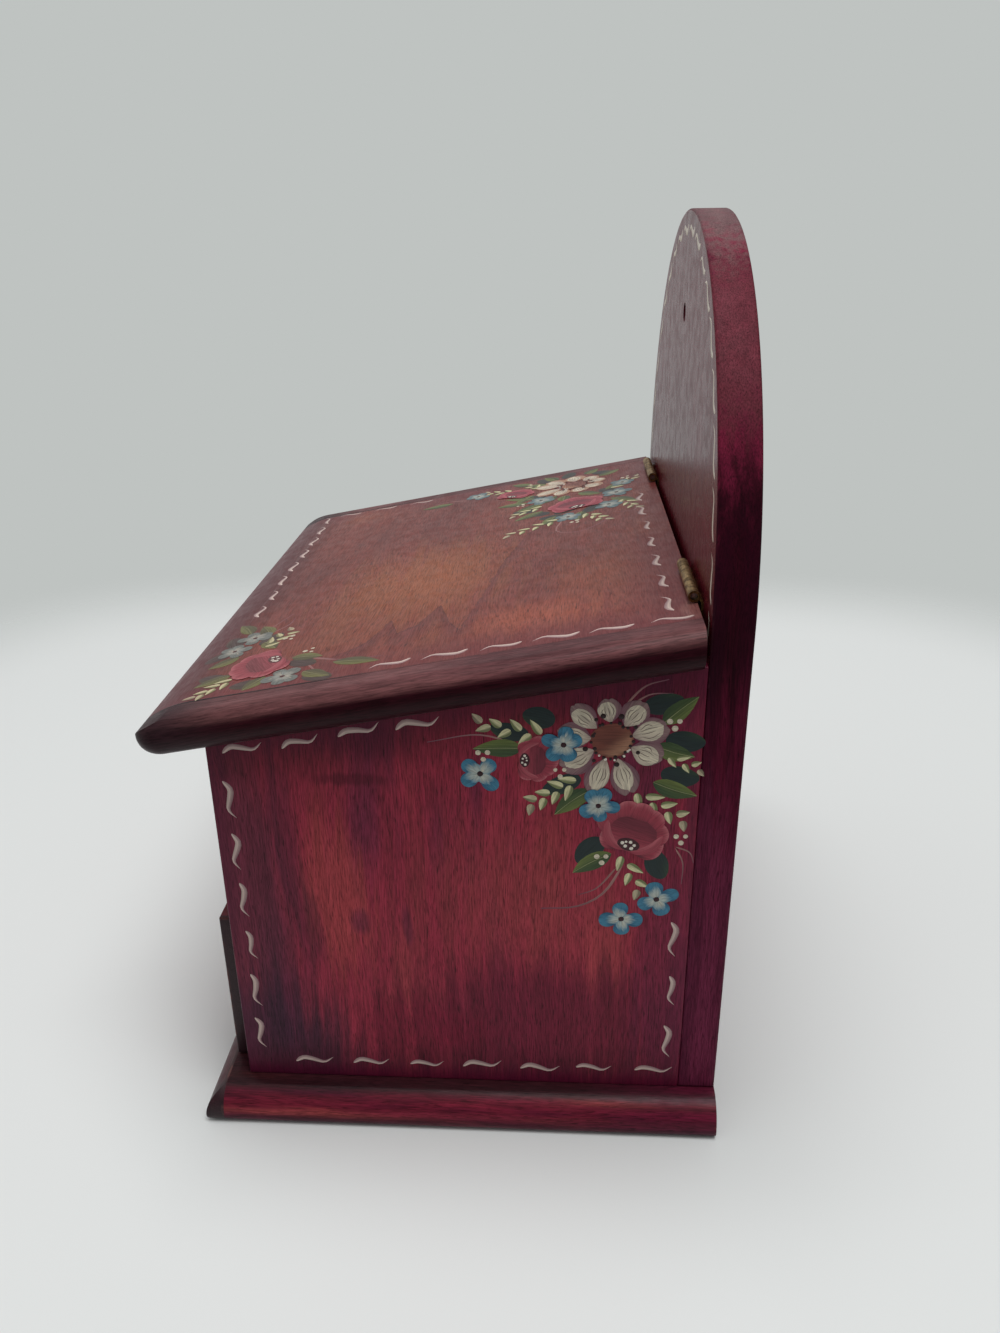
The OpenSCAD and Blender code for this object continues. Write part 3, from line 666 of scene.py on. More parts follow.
def brushStroke(coat, points, width, tint, layer, shape, rows=13, thick=0.025):
    across = (-1, -0.8, -0.45, 0, 0.45, 0.8, 1) if width > 0.9 else (-1, -0.5, 0.5, 1)
    shares = [0.5 - 0.5 * math.cos(math.pi * k / (rows - 1)) for k in range(rows)]
    path = throughPoints(points, shares)
    start = len(coat["points"])
    base = layerRise(layer)
    offset = (start * 0.37) % 40  # each stroke takes its own place in the brush marks
    for k, (u, spot) in enumerate(zip(shares, path)):
        along = (path[min(k + 1, rows - 1)] - path[max(k - 1, 0)]).normalized()
        left = Vector((-along.y, along.x))
        wide = max(width * press[shape](min(max(u, 0.0), 1.0)), 0.05)
        rise = min(1.0, 6 * u, 6 * (1 - u))
        for v in across:
            p = spot + left * (wide * v)
            coat["points"].append((p.x, p.y, base + thick * rise * math.sqrt(max(0.0, 1 - v * v))))
            coat["tints"].append(tint(u, v) if callable(tint) else tint)
            coat["brush"].append((u + offset, v * wide * 0.5 + offset))
    n = len(across)
    for i in range(rows - 1):
        for j in range(n - 1):
            k = start + i * n + j
            coat["faces"].append((k, k + n, k + n + 1, k + 1))


def paintDisc(coat, at, radii, tint, layer, turn=0.0, thick=0.025, sectors=18, rings=4, wobble=0.0, rng=None):
    start = len(coat["points"])
    base = layerRise(layer)
    cosTurn, sinTurn = math.cos(turn), math.sin(turn)
    swell = [1 + (rng.uniform(-wobble, wobble) if rng else 0.0) for _ in range(sectors)]
    offset = (start * 0.53) % 40
    coat["points"].append((at[0], at[1], base + thick))
    coat["tints"].append(tint(0.0, 0.0, 0.0) if callable(tint) else tint)
    coat["brush"].append((offset, offset))
    for ring in range(1, rings + 1):
        r = ring / rings
        for s in range(sectors):
            angle = 2 * math.pi * s / sectors
            p, q = r * swell[s] * math.cos(angle), r * swell[s] * math.sin(angle)
            x, y = p * radii[0], q * radii[1]
            coat["points"].append((at[0] + x * cosTurn - y * sinTurn, at[1] + x * sinTurn + y * cosTurn,
                                   base + thick * math.sqrt(max(0.0, 1 - r * r))))
            coat["tints"].append(tint(r, p, q) if callable(tint) else tint)
            coat["brush"].append((offset + p * 0.6, offset + q * radii[1] * 0.4))
    for s in range(sectors):
        t = (s + 1) % sectors
        coat["faces"].append((start, start + 1 + s, start + 1 + t))
        for ring in range(rings - 1):
            a, b = start + 1 + ring * sectors, start + 1 + (ring + 1) * sectors
            coat["faces"].append((a + s, b + s, b + t, a + t))


def toward(at, degrees, length):
    angle = math.radians(degrees)
    return (at[0] + length * math.cos(angle), at[1] + length * math.sin(angle))


def paintDot(coat, at, radius, tint, layer):
    thick = min(0.07, radius * 0.12)
    paintDisc(coat, at, (radius, radius), paintPot[tint], layer, sectors=10, rings=2, thick=thick)


def paintDaisy(coat, at, size, rng, layer, under="mauve"):
    def underTint(u, v):
        return mixTint(under, "creamShade", 0.05 + 0.40 * u * (1 - fade(abs(v), 0.6, 1.0)))

    petals = 9
    veinTint = mixTint("umber", "creamShade", 0.45)
    for k in range(petals):
        angle = 14 + 360 * k / petals + rng.uniform(-6, 6)
        reach = size * (0.98 - 0.08 * math.sin(math.radians(angle))) * rng.uniform(0.86, 1.10)
        wide = size * rng.uniform(0.180, 0.245)
        root = toward(at, angle + rng.uniform(-3, 3), size * 0.38)
        tip = toward(at, angle + rng.uniform(-4, 4), reach)
        for slip in (-4, 4):
            end = toward(at, angle + slip + rng.uniform(-3, 3), reach + size * rng.uniform(0.01, 0.06))
            brushStroke(coat, [root, end], wide * rng.uniform(1.02, 1.16), underTint, layer, "petal")
        phase = rng.uniform(0, 6)

        def petalTint(u, v):
            body = mixTint("creamShade", "cream", fade(u, 0.0, 0.45))
            body = mixTint(body, "creamShade", 0.45 * fade(math.sin(9 * v + phase + 2 * u), 0.2, 1.0))
            return mixTint(body, "creamShade", fade(abs(v), 0.72, 1.0) * 0.6)
        brushStroke(coat, [root, tip], wide, petalTint, layer + 1, "petal", thick=0.03)
        along = (Vector(tip) - Vector(root)).normalized()
        left, long = Vector((-along.y, along.x)) * wide, (Vector(tip) - Vector(root)).length
        for lean, out in ((-0.62, 0.80), (-0.12, 0.70), (0.30, 0.78), (0.66, 0.66)):
            path = [Vector(root) + along * long * t + left * lean * bow
                    for t, bow in ((0.26, 0.45), (0.5, 0.95), (out, 0.55))]
            brushStroke(coat, path, 0.15, veinTint, layer + 5, "blade", rows=8)

    def eyeTint(r, p, q):
        lit = fade(p * 0.7 - q * 0.7, -0.1, 0.8) * (1 - fade(r, 0.85, 1.0))
        return mixTint(mixTint("umber", "russet", 0.6 + 0.3 * r), "tan", lit * 0.85)
    paintDisc(coat, at, (size * 0.39, size * 0.36), eyeTint, layer + 6, wobble=0.06, rng=rng,
              thick=0.02, rings=6)
    # rings of dots: angles, sway, distance out, dot size, tint, layers above
    dots = (([360 * k / 19 for k in range(19)], 7, (0.335, 0.395), (0.026, 0.040), "umber", 10),
            ((35, 78, 108, 128, 200, 232, 278, 330), 6, (0.46, 0.54), (0.036, 0.060), "umber", 10),
            ((-128, -104, -78, -50, -34, -30), 4, (0.34, 0.40), (0.020, 0.034), "white", 11))
    for angles, sway, out, big, tint, above in dots:
        for angle in angles:
            spot = toward(at, angle + rng.uniform(-sway, sway), size * rng.uniform(*out))
            paintDot(coat, spot, size * rng.uniform(*big), tint, layer + above)


def paintRose(coat, at, size, facing, rng, layer):
    c, s = math.cos(math.radians(facing)), math.sin(math.radians(facing))

    def spot(p, q):
        return (at[0] + size * (p * s + q * c), at[1] + size * (q * s - p * c))

    def outerTint(u, v):
        body = mixTint("roseDark", "rose", fade(u, 0.40, 0.74))
        lit = fade(u + 0.10 * abs(v), 0.84, 1.06) * 0.70 + 0.16 * fade(v, 0.3, 1.0) * fade(u, 0.5, 0.9)
        return mixTint(body, "roseLight", lit)

    def bowlTint(r, p, q):
        body = mixTint("roseDark", "rose", 0.14 + 0.86 * fade(-q, -0.55, 0.70))
        body = mixTint(body, "roseLight", 0.42 * fade(-q, 0.25, 1.0) * fade(r, 0.3, 0.9))
        return mixTint(body, "throat", 0.35 * fade(q, 0.45, 1.0) * fade(r, 0.7, 1.0))

    for lean in (-104, 102, -66, 64, -26, 28, 0):
        reach = rng.uniform(0.90, 1.05) * (1.0 if abs(lean) < 90 else 0.90)
        tip = spot(reach * math.sin(math.radians(lean)), reach * math.cos(math.radians(lean)) - 0.16)
        brushStroke(coat, [spot(0, -0.35), tip], size * rng.uniform(0.36, 0.42), outerTint, layer, "round",
                    rows=17, thick=0.03)
        layer += 1
    angle = math.radians(facing - 90)
    paintDisc(coat, spot(0, -0.12), (size * 0.62, size * 0.54), bowlTint, layer + 1, turn=angle, thick=0.03,
              sectors=28, rings=8)
    for hand in (-1, 1):
        def lipTint(u, v):
            return mixTint("rose", "roseLight", 0.20 + 0.4 * fade(-v * hand, -0.4, 1.0) - 0.2 * u)
        lip = [spot(p * hand, q) for p, q in ((0.74, 0.06), (0.62, -0.34), (0.36, -0.58), (0.04, -0.66))]
        brushStroke(coat, lip, size * 0.13, lipTint, layer + 5, "leaf")
    throatTint = mixTint("throat", "roseDark", 0.2)
    paintDisc(coat, spot(0, -0.46), (size * 0.30, size * 0.19), throatTint, layer + 7, turn=angle)
    for p, q in ((-0.17, -0.46), (0.01, -0.38), (0.16, -0.44), (-0.05, -0.53), (0.10, -0.55), (-0.10, -0.40)):
        stamen = spot(p + rng.uniform(-0.02, 0.02), q)
        paintDot(coat, stamen, size * rng.uniform(0.034, 0.056), "white", layer + 10)


def paintBlossom(coat, at, size, turn, petals, rng, layer, fadeBlue=0.0):
    rimBlue, rootBlue = [mixTint(tint, "dullBlue", fadeBlue) for tint in ("blue", "deepBlue")]
    paleBlue = mixTint("paleBlue", "dullBlue", 0.6 * fadeBlue)
    for k in range(petals):
        angle = turn + 360 * k / petals + rng.uniform(-10, 10)
        lean = rng.uniform(-0.5, 0.5)

        def petalTint(u, v):
            body = mixTint(rootBlue, rimBlue, fade(u, 0.3, 0.8))
            return mixTint(body, rootBlue, 0.7 * fade(abs(v - lean), 0.6, 1.4))
        tip = toward(at, angle + rng.uniform(-9, 9), size * rng.uniform(0.92, 1.10))
        brushStroke(coat, [toward(at, angle, size * 0.06), tip], size * rng.uniform(0.35, 0.43), petalTint,
                    layer + k % 2, "round", rows=15, thick=0.03)
        lights = ((rng.uniform(-15, -6), 0.25, 0.2), (rng.uniform(6, 15), 0.22, 0.3),
                  (rng.uniform(-6, 6), 0.12, 0.8))
        for slip, wide, white in lights:
            pale = mixTint(paleBlue, "cream", white + rng.uniform(-0.2, 0.2))

            def paleTint(u, v):
                return mixTint(pale, rimBlue, max(fade(u, 0.30, 0.95), 0.8 * fade(abs(v), 0.5, 1.0)))
            tip = toward(at, angle + 1.2 * slip, size * rng.uniform(0.62, 0.88))
            root = toward(at, angle + slip, size * 0.12)
            brushStroke(coat, [root, tip], size * wide, paleTint, layer + 4, "tear", rows=11)
    paintDot(coat, at, size * 0.14, "throat", layer + 8)
    paintDot(coat, toward(at, 40, size * 0.05), size * 0.05, "russet", layer + 11)


def paintLeaf(coat, root, tip, wide, rng, layer):
    mid = ((root[0] + tip[0]) / 2 + rng.uniform(-0.5, 0.5), (root[1] + tip[1]) / 2 + rng.uniform(-0.5, 0.5))
    hand = rng.choice((-1, 1))

    def leafTint(u, v):
        return mixTint("leafGreen", "leafOlive", fade(v * hand, -0.5, 0.9) * 0.8 + 0.2 * u)
    brushStroke(coat, [root, mid, tip], wide, leafTint, layer, "leaf", thick=0.03)
    brushStroke(coat, [root, mid, tip], 0.14, mixTint("leafOlive", "drop", 0.35), layer + 3, "line", rows=9)


def paintPad(coat, at, degrees, length, wide, rng, layer):
    # a broad dark leaf, laid with one press of a flat brush
    def padTint(u, v):
        return mixTint("leafDark", "leafGreen", 0.55 * fade(v, 0.1, 1.0) * fade(u, 0.2, 0.9))
    root, tip = toward(at, degrees + 180, length / 2), toward(at, degrees + rng.uniform(-10, 10), length / 2)
    brushStroke(coat, [root, at, tip], wide, padTint, layer, "blade")


def paintSprig(coat, root, tip, count, rng, layer, size=5.9):
    heading = math.degrees(math.atan2(tip[1] - root[1], tip[0] - root[0]))
    for k in range(count):
        t = k / (count - 1)
        at = (root[0] + (tip[0] - root[0]) * t, root[1] + (tip[1] - root[1]) * t)
        angle = heading + (38 if k % 2 else -38) + rng.uniform(-9, 9)
        at = toward(at, angle, 0.5)
        long = size * (1 - 0.28 * t) * rng.uniform(0.9, 1.1)

        def dropTint(u, v):
            body = mixTint("drop", "dropGreen", fade(v, 0.0, 0.45))
            return mixTint(body, "borderShade", 0.45 * fade(t, 0.7, 1.0))
        end = toward(at, angle + rng.uniform(-12, 12), long)
        brushStroke(coat, [at, end], size * 0.22, dropTint, layer, "tear", rows=9)


def paintTrio(coat, at, rng, layer):
    for dx, dy in ((-1.5, 0.8), (1.4, 0.9), (0.1, -1.5)):
        paintDot(coat, (at[0] + dx, at[1] + dy), rng.uniform(0.7, 1.0), "cream", layer)


def paintTendril(coat, points, width, layer):
    def stemTint(u, v):
        return mixTint("stem", "mauve", u)
    brushStroke(coat, points, width, stemTint, layer, "line", rows=16, thick=0.015)


# order in which a spray is painted, and the brush sizes of the lid in millimetres
paintLayers = {"tendril": 0, "pad": 1, "leaf": 4, "sprig": 8, "flower": 10, "trio": 12, "daisy": 14,
               "rose": 28}
lidBrush = {"tendril": 0.42, "padLength": 11, "padWidth": 3.4, "leaf": 3.0}


def cornerSpray(spray):
    # a spray for the far upper corner of a face: arms along the top and down the edge
    rng = random.Random(spray["seed"])
    coat = newCoat()
    for points, width in spray["tendrils"]:
        paintTendril(coat, points, width, paintLayers["tendril"])
    for x, y, turn, long, wide in spray["pads"]:
        paintPad(coat, (x, y), turn, long, wide, rng, paintLayers["pad"])
    for root, tip in spray["leaves"]:
        paintLeaf(coat, root, tip, spray["leafWidth"], rng, paintLayers["leaf"])
    for root, tip, count, size in spray["sprigs"]:
        paintSprig(coat, root, tip, count, rng, paintLayers["sprig"], size)
    paintRose(coat, *spray["smallRose"], rng, paintLayers["flower"])
    for x, y, turn in spray["blossoms"]:
        paintBlossom(coat, (x, y), spray["blossomSize"], turn, 4, rng, paintLayers["flower"])
    paintDaisy(coat, (0, 0), spray["daisySize"], rng, paintLayers["daisy"])
    paintRose(coat, *spray["rose"], rng, paintLayers["rose"])
    for at, size, turn, layer in spray["topBlossoms"]:
        paintBlossom(coat, at, size, turn, 5, rng, layer)
    for spot in spray["trios"]:
        paintTrio(coat, spot, rng, paintLayers["trio"])
    return coat


def lidSpray(spray):
    # a looser spray for the lid, listed piece by piece
    rng = random.Random(spray["seed"])
    coat = newCoat()
    for points in spray["tendrils"]:
        paintTendril(coat, points, lidBrush["tendril"], paintLayers["tendril"])
    for x, y, turn in spray["pads"]:
        paintPad(coat, (x, y), turn, lidBrush["padLength"], lidBrush["padWidth"], rng, paintLayers["pad"])
    for root, tip in spray["leaves"]:
        paintLeaf(coat, root, tip, lidBrush["leaf"], rng, paintLayers["leaf"])
    for root, tip, count in spray["sprigs"]:
        paintSprig(coat, root, tip, count, rng, paintLayers["sprig"])
    for x, y, size in spray["blossoms"]:
        turn = rng.uniform(0, 70)
        paintBlossom(coat, (x, y), size, turn, 5, rng, paintLayers["flower"], spray["fadeBlue"])
    for x, y, size in spray["daisies"]:
        paintDaisy(coat, (x, y), size, rng, paintLayers["daisy"], "tan")
    for x, y, size, facing in spray["roses"]:
        paintRose(coat, (x, y), size, facing, rng, paintLayers["rose"])
    for spot in spray["trios"]:
        paintTrio(coat, spot, rng, paintLayers["trio"])
    coat["tints"] = [mixTint(tint, "worn", spray["worn"]) for tint in coat["tints"]]
    return coat


def appendCoat(target, source, at):
    start = len(target["points"])
    target["points"] += [(at[0] + a, at[1] + b, height) for a, b, height in source["points"]]
    target["faces"] += [tuple(start + k for k in face) for face in source["faces"]]
    target["tints"] += source["tints"]
    target["brush"] += source["brush"]


def coatMesh(name, coat, plane):
    mesh = bpy.data.meshes.new(name)
    turned = plane["u"].cross(plane["v"]).dot(plane["n"]) < 0
    drop = plane.get("drop", lambda run: 0.0)
    points = [plane["at"] + plane["u"] * a * mm + plane["v"] * b * mm + plane["n"] * (h + drop(b)) * mm
              for a, b, h in coat["points"]]
    mesh.from_pydata(points, [], [tuple(reversed(f)) if turned else f for f in coat["faces"]])
    tint = mesh.color_attributes.new("paintTint", "FLOAT_COLOR", "POINT")
    tint.data.foreach_set("color", [c for t in coat["tints"] for c in (*t[:3], 1.0)])
    layout = mesh.uv_layers.new(name="strokeUv")
    for loop in mesh.loops:
        layout.data[loop.index].uv = coat["brush"][loop.vertex_index]
    mesh.polygons.foreach_set("use_smooth", [True] * len(mesh.polygons))
    mesh.materials.append(brushPaint)
    return mesh


def hangPaint(name, coat, plane, body):
    piece = bpy.data.objects.new(name, coatMesh(name, coat, plane))
    scene.collection.objects.link(piece)
    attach(piece, body)


faces = {
    "right": {"at": ax * sideHigh.x, "u": ay, "v": az, "n": ax},
    "left": {"at": ax * -sideHigh.x, "u": ay, "v": az, "n": -ax},
    "lid": {"at": lidUp * lidTop + lidRun * lidBackRun, "u": ax, "v": lidRun, "n": lidUp, "drop": lidDrop},
    "back": {"at": ay * backLow.y, "u": ax, "v": az, "n": -ay},
    "front": {"at": ay * frontLow.y, "u": ax, "v": az, "n": -ay},
    "drawer": {"at": ay * drawerLow.y, "u": ax, "v": az, "n": -ay},
}

# Sprays: where each thing sits, in millimetres
sprays = {
    "side": {
        "at": (49.5, 148.8), "seed": 5, "leafWidth": 3.1, "blossomSize": 6.8, "daisySize": 16.4,
        "rose": ((8, -31), 12.2, 72), "smallRose": ((-22.5, -7), 8.2, 0),
        "topBlossoms": [((-14.5, -1.5), 6.4, 15, 46), ((-3.5, -22.5), 6.2, 60, 50)],
        "tendrils": [([(3, 11), (9, 18), (16, 20.5)], 0.38), ([(6, 12.5), (11, 15.6), (17.5, 16)], 0.34),
                     ([(-30, -1), (-41, 1.4), (-56, -1.4)], 0.36),
                     ([(5, -44), (-1, -55), (-9.5, -60.5), (-21, -61.6)], 0.5),
                     ([(3, -45), (-3, -53), (-9, -56)], 0.34), ([(21, -37), (25.5, -39), (27, -43)], 0.3),
                     ([(21, -37.5), (23.6, -43), (23.6, -51)], 0.3)],
        "pads": [(-22, 7.5, 165, 10, 3.6), (15, 12.5, 12, 12, 3.4), (22, 0, -8, 12, 3.6),
                 (21, -12, -14, 12, 3.6), (-6, -39, 228, 12, 3.9), (15.5, -44, -76, 11, 3.8),
                 (-31, 2.5, 172, 12, 3.0), (-15, -15.5, 205, 13, 3.2)],
        "leaves": [((-27, -3), (-42, -3.4)), ((15, 6), (25, 15)), ((13, -1.5), (25, -5)),
                   ((13, -14), (26.5, -18.5)), ((-6, -17), (-17, -26)), ((1, -40), (-11, -47.5))],
        "sprigs": [((-21, 1.5), (-39, 5), 7, 5.9), ((-10, -14), (-24, -22), 8, 5.9),
                   ((8, -17.5), (22.5, -27), 7, 5.9),
                   ((17, -5), (26, -9), 5, 4.4), ((4.5, -40.5), (10, -53), 5, 5.9)],
        "blossoms": [(-40, -12, 40), (16, -57, 20), (5, -65, 5)],
        "trios": [(-39, -5.5), (-15.5, -11), (18.5, 6), (-2, -42), (22.5, -34)]},
    "lidBack": {
        "seed": 11, "worn": 0.12, "fadeBlue": 0.75,
        "daisies": [(-83, -36, 17.0)], "roses": [(-48.5, -36, 12.6, 190), (-85, -63, 9.2, 150)],
        "blossoms": [(-56, -17.5, 6.6), (-94, -82, 6.0), (-65, -51, 6.4), (-29, -39, 6.0), (-38, -21.5, 6.2),
                     (-72, -14, 5.6)],
        "pads": [(-42, -52, 250), (-33, -46, 260), (-101, -50, 200), (-72, -54, 240), (-62, -21, 30),
                 (-36, -29, 330), (-98, -22, 60), (-50, -58, 250), (-40, -40, 300), (-104, -38, 160)],
        "leaves": [((-90, -48), (-98, -58)), ((-92, -24), (-99, -14)), ((-60, -50), (-52, -62)),
                   ((-46, -50), (-37, -62)), ((-34, -44), (-23, -50)), ((-34, -33), (-21, -35)),
                   ((-64, -22), (-76, -10)), ((-89, -94), (-88, -109)), ((-48, -20), (-38, -10)),
                   ((-100, -30), (-108, -24)), ((-68, -44), (-58, -52)), ((-67, -34), (-59, -24)),
                   ((-70, -54), (-78, -68)), ((-64, -57), (-66, -71)), ((-77, -55), (-66, -63)),
                   ((-98, -44), (-108, -50)), ((-97, -56), (-105, -66)), ((-66, -40), (-57, -41))],
        "sprigs": [((-27, -43), (-17, -63), 8), ((-30, -31), (-17, -24), 6), ((-66, -20), (-78, -8), 6),
                   ((-92, -66), (-97, -77), 5), ((-86, -50), (-96, -57), 5), ((-42, -15), (-27, -11), 6),
                   ((-54, -50), (-46, -62), 6)],
        "tendrils": [[(-36, -38), (-12, -44), (-5, -34), (-15, -23)],
                     [(-44, -20), (-31, -11), (-22, -12), (-24, -19)],
                     [(-90, -86), (-94, -98), (-88, -110)]],
        "trios": [(-62, -60), (-20, -36), (-80, -12)]},
    "lidFront": {
        "seed": 23, "worn": 0.3, "fadeBlue": 1.0,
        "daisies": [], "roses": [(86, -142, 12.2, -62)],
        "blossoms": [(58.5, -151, 6.2), (69, -155.5, 5.8), (99.5, -130.5, 6.4)],
        "pads": [(92, -156, 240), (101.5, -142, 260), (72, -160, 120), (104, -118, 70),
                 (60, -158, 200), (62, -144, 150), (90, -126, 60)],
        "leaves": [((84, -131), (87, -120)), ((94, -115), (99, -99)), ((53, -154), (42, -161)),
                   ((91, -150), (97, -161)), ((98, -124), (105, -114)), ((64, -146), (72, -140)),
                   ((75, -152), (82, -161)), ((97, -137), (106, -142)), ((57, -146), (47, -151))],
        "sprigs": [((95, -148), (105, -157), 7), ((69, -145), (57, -138), 6)],
        "tendrils": [[(56, -150), (47, -146), (38, -142)], [(58, -148), (50, -141), (43, -140)],
                     [(83, -130), (92, -115), (95.6, -98.8)],
                     [(83, -130), (97, -121), (105, -118), (104, -113)],
                     [(83, -130), (90, -118), (97, -106)]],
        "trios": [(64, -137), (80, -126)]},
}
for side in ("right", "left"):
    coat = newCoat()
    appendCoat(coat, cornerSpray(sprays["side"]), sprays["side"]["at"])
    hangPaint(side + "SideSpray", coat, faces[side], "box")
coat = newCoat()
for name in ("lidBack", "lidFront"):
    appendCoat(coat, lidSpray(sprays[name]), (0, 0))
hangPaint("lidSprays", coat, faces["lid"], "lid")
print("sprays painted")

# Borders: rows of comma strokes set along paths by Geometry Nodes
# each run: face, points of the path in mm, gap between strokes in mm, stroke size
border = {
    "sway": 0.12, "sizeSpread": 0.12, "drift": 0.5, "seed": 7, "strokeWidth": 0.92,
    "bends": ([(-6.4, -1.1), (-3.6, 0.75), (0, 0.1), (3.4, -0.75), (6.4, 1.3)],
              [(-6.2, -0.9), (-3.2, 0.9), (0.4, 0.0), (3.6, -0.85), (6.5, 1.0)],
              [(-6.5, -0.6), (-3.8, 0.7), (-0.2, 0.2), (3.2, -0.6), (6.2, 1.5)]),
    "box": [run for side in ("right", "left") for run in (
        (side, [(-64.0, 144.4), (-9.3, 153.5)], 18.2, 1.0),
        (side, [(-69.7, 126), (-69.7, 31)], 19.0, 1.0),
        (side, [(-51.5, 20), (67.5, 20)], 19.8, 1.0),
        (side, [(71.8, 76), (71.8, 33)], 21.0, 1.0))]
    + [("front", [(-88, height), (88, height)], 17.6, 0.9) for height in (135, 84)],
    "lid": [("lid", [(28, -157.6), (-102, -158.6)], 18.4, 1.0),
            ("lid", [(91, -8.6), (-41, -8.6)], 22.0, 1.0),
            ("lid", [(104.0, -9), (102.9, -95)], 17.2, 1.05),
            ("lid", [(-105, -112), (-106, -148)], 18.0, 0.9)],
    "drawer": [("drawer", [(-88, 67.5), (88, 67.5)], 17.6, 0.9)],
    "arch": {"inset": 6.5, "foot": 180, "steps": 24, "gap": 17.5, "size": 1.2},
}


def commaSet(label, tint, shade):
    def commaTint(u, v):
        return mixTint(tint, shade, 0.8 * fade(v, -0.3, 0.7) + 0.3 * u)
    group = bpy.data.collections.new(label)
    for k, bend in enumerate(border["bends"]):
        coat = newCoat()
        brushStroke(coat, bend, border["strokeWidth"], commaTint, 0, "comma", rows=17)
        mesh = coatMesh(label + str(k), coat, {"at": Vector(), "u": ax, "v": ay, "n": az})
        group.objects.link(bpy.data.objects.new(label + str(k), mesh))
    return group


def borderTree():
    tree = bpy.data.node_groups.new("commaBorder", "GeometryNodeTree")
    inputs = {"Paths": "Geometry", "Strokes": "Collection", "Sway": "Float", "Size Spread": "Float",
              "Drift": "Float", "Seed": "Int", "Paint": "Material"}
    for label, kind in inputs.items():
        tree.interface.new_socket(label, in_out="INPUT", socket_type="NodeSocket" + kind)
    tree.interface.new_socket("Border", in_out="OUTPUT", socket_type="NodeSocketGeometry")
    ports = addNode(tree, "NodeGroupInput").outputs
    given = {port.name: nodeValue(tree, port) for port in ports if port.name}

    def enabled(node):
        return nodeValue(tree, [port for port in node.outputs if port.enabled][0])

    def seeded(kind, low, high, step):
        node = addNode(tree, "FunctionNodeRandomValue", data_type=kind)
        ports = {port.name: port for port in node.inputs if port.enabled}
        for key, value in (("Min", low), ("Max", high), ("Seed", given["Seed"] + step)):
            feed(tree, ports[key], value)
        return enabled(node)

    def spread(label, step):
        return seeded("FLOAT", given[label] * -1.0, given[label], step)

    def named(label, kind):
        return enabled(addNode(tree, "GeometryNodeInputNamedAttribute", {"Name": label}, data_type=kind))

    paths = given["Paths"].make("GeometryNodeMeshToCurve", {0: given["Paths"]})
    gap = named("strokeGap", "FLOAT")
    curve = paths.make("GeometryNodeResampleCurve", {"Curve": paths, "Length": gap}, mode="LENGTH")
    along = curve.make("GeometryNodeInputTangent", {})
    normal = named("faceNormal", "FLOAT_VECTOR")
    slip = along.stretch(spread("Drift", 1))
    lift = normal.vector("CROSS_PRODUCT", along).stretch(spread("Drift", 2))
    curve = curve.make("GeometryNodeSetPosition", {"Geometry": curve, "Offset": slip.vector("ADD", lift)})
    stand = normal.make("FunctionNodeAxesToRotation", {"Primary Axis": normal, "Secondary Axis": along},
                        primary_axis="Z", secondary_axis="X")
    lean = stand.make("ShaderNodeCombineXYZ", {"Z": spread("Sway", 3)})
    lean = lean.make("FunctionNodeEulerToRotation", {0: lean})
    values = {"Rotation": stand, "Rotate By": lean}
    stand = stand.make("FunctionNodeRotateRotation", values, rotation_space="LOCAL")
    size = (spread("Size Spread", 4) + 1.0) * named("strokeSize", "FLOAT")
    kit = curve.make("GeometryNodeCollectionInfo", {"Collection": given["Strokes"], "Separate Children": True,
                                                    "Reset Children": True})
    lastBend = len(border["bends"]) - 1
    laid = curve.make("GeometryNodeInstanceOnPoints", {
        "Points": curve, "Instance": kit, "Pick Instance": True,
        "Instance Index": seeded("INT", 0, lastBend, 5), "Rotation": stand, "Scale": size})
    whole = laid.make("GeometryNodeRealizeInstances", {0: laid})
    whole = whole.make("GeometryNodeSetMaterial", {"Geometry": whole, "Material": given["Paint"]})
    addNode(tree, "NodeGroupOutput", {0: whole})
    return tree


commaBorder = borderTree()
commaStrokes = commaSet("comma", "border", "borderShade")
archStrokes = commaSet("archComma", "white", "cream")  # fresher paint, out of reach of hands


def layBorder(name, body, runs, strokes):
    points, edges, normals, gaps, sizes = [], [], [], [], []
    for face, path, gap, size in runs:
        plane = faces[face]
        for k, (a, b) in enumerate(path):
            if k:
                edges.append((len(points) - 1, len(points)))
            points.append(plane["at"] + plane["u"] * a * mm + plane["v"] * b * mm)
            normals.extend(plane["n"])
            gaps.append(gap * mm)
            sizes.append(size)
    mesh = bpy.data.meshes.new(name)
    mesh.from_pydata(points, edges, [])
    mesh.attributes.new("faceNormal", "FLOAT_VECTOR", "POINT").data.foreach_set("vector", normals)
    mesh.attributes.new("strokeGap", "FLOAT", "POINT").data.foreach_set("value", gaps)
    mesh.attributes.new("strokeSize", "FLOAT", "POINT").data.foreach_set("value", sizes)
    piece = bpy.data.objects.new(name, mesh)
    scene.collection.objects.link(piece)
    rows = piece.modifiers.new("border", "NODES")
    rows.node_group = commaBorder
    wanted = {"Strokes": strokes, "Sway": border["sway"], "Size Spread": border["sizeSpread"],
              "Drift": border["drift"] * mm, "Seed": border["seed"], "Paint": brushPaint}
    for socket in commaBorder.interface.items_tree:
        if socket.in_out == "INPUT" and socket.name in wanted:
            rows[socket.identifier] = wanted[socket.name]
    view = bpy.context.evaluated_depsgraph_get()
    laid = bpy.data.meshes.new_from_object(piece.evaluated_get(view))
    piece.modifiers.remove(rows)
    piece.data = laid
    laid.name = name
    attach(piece, body)
    print(name, len(laid.polygons), "faces")


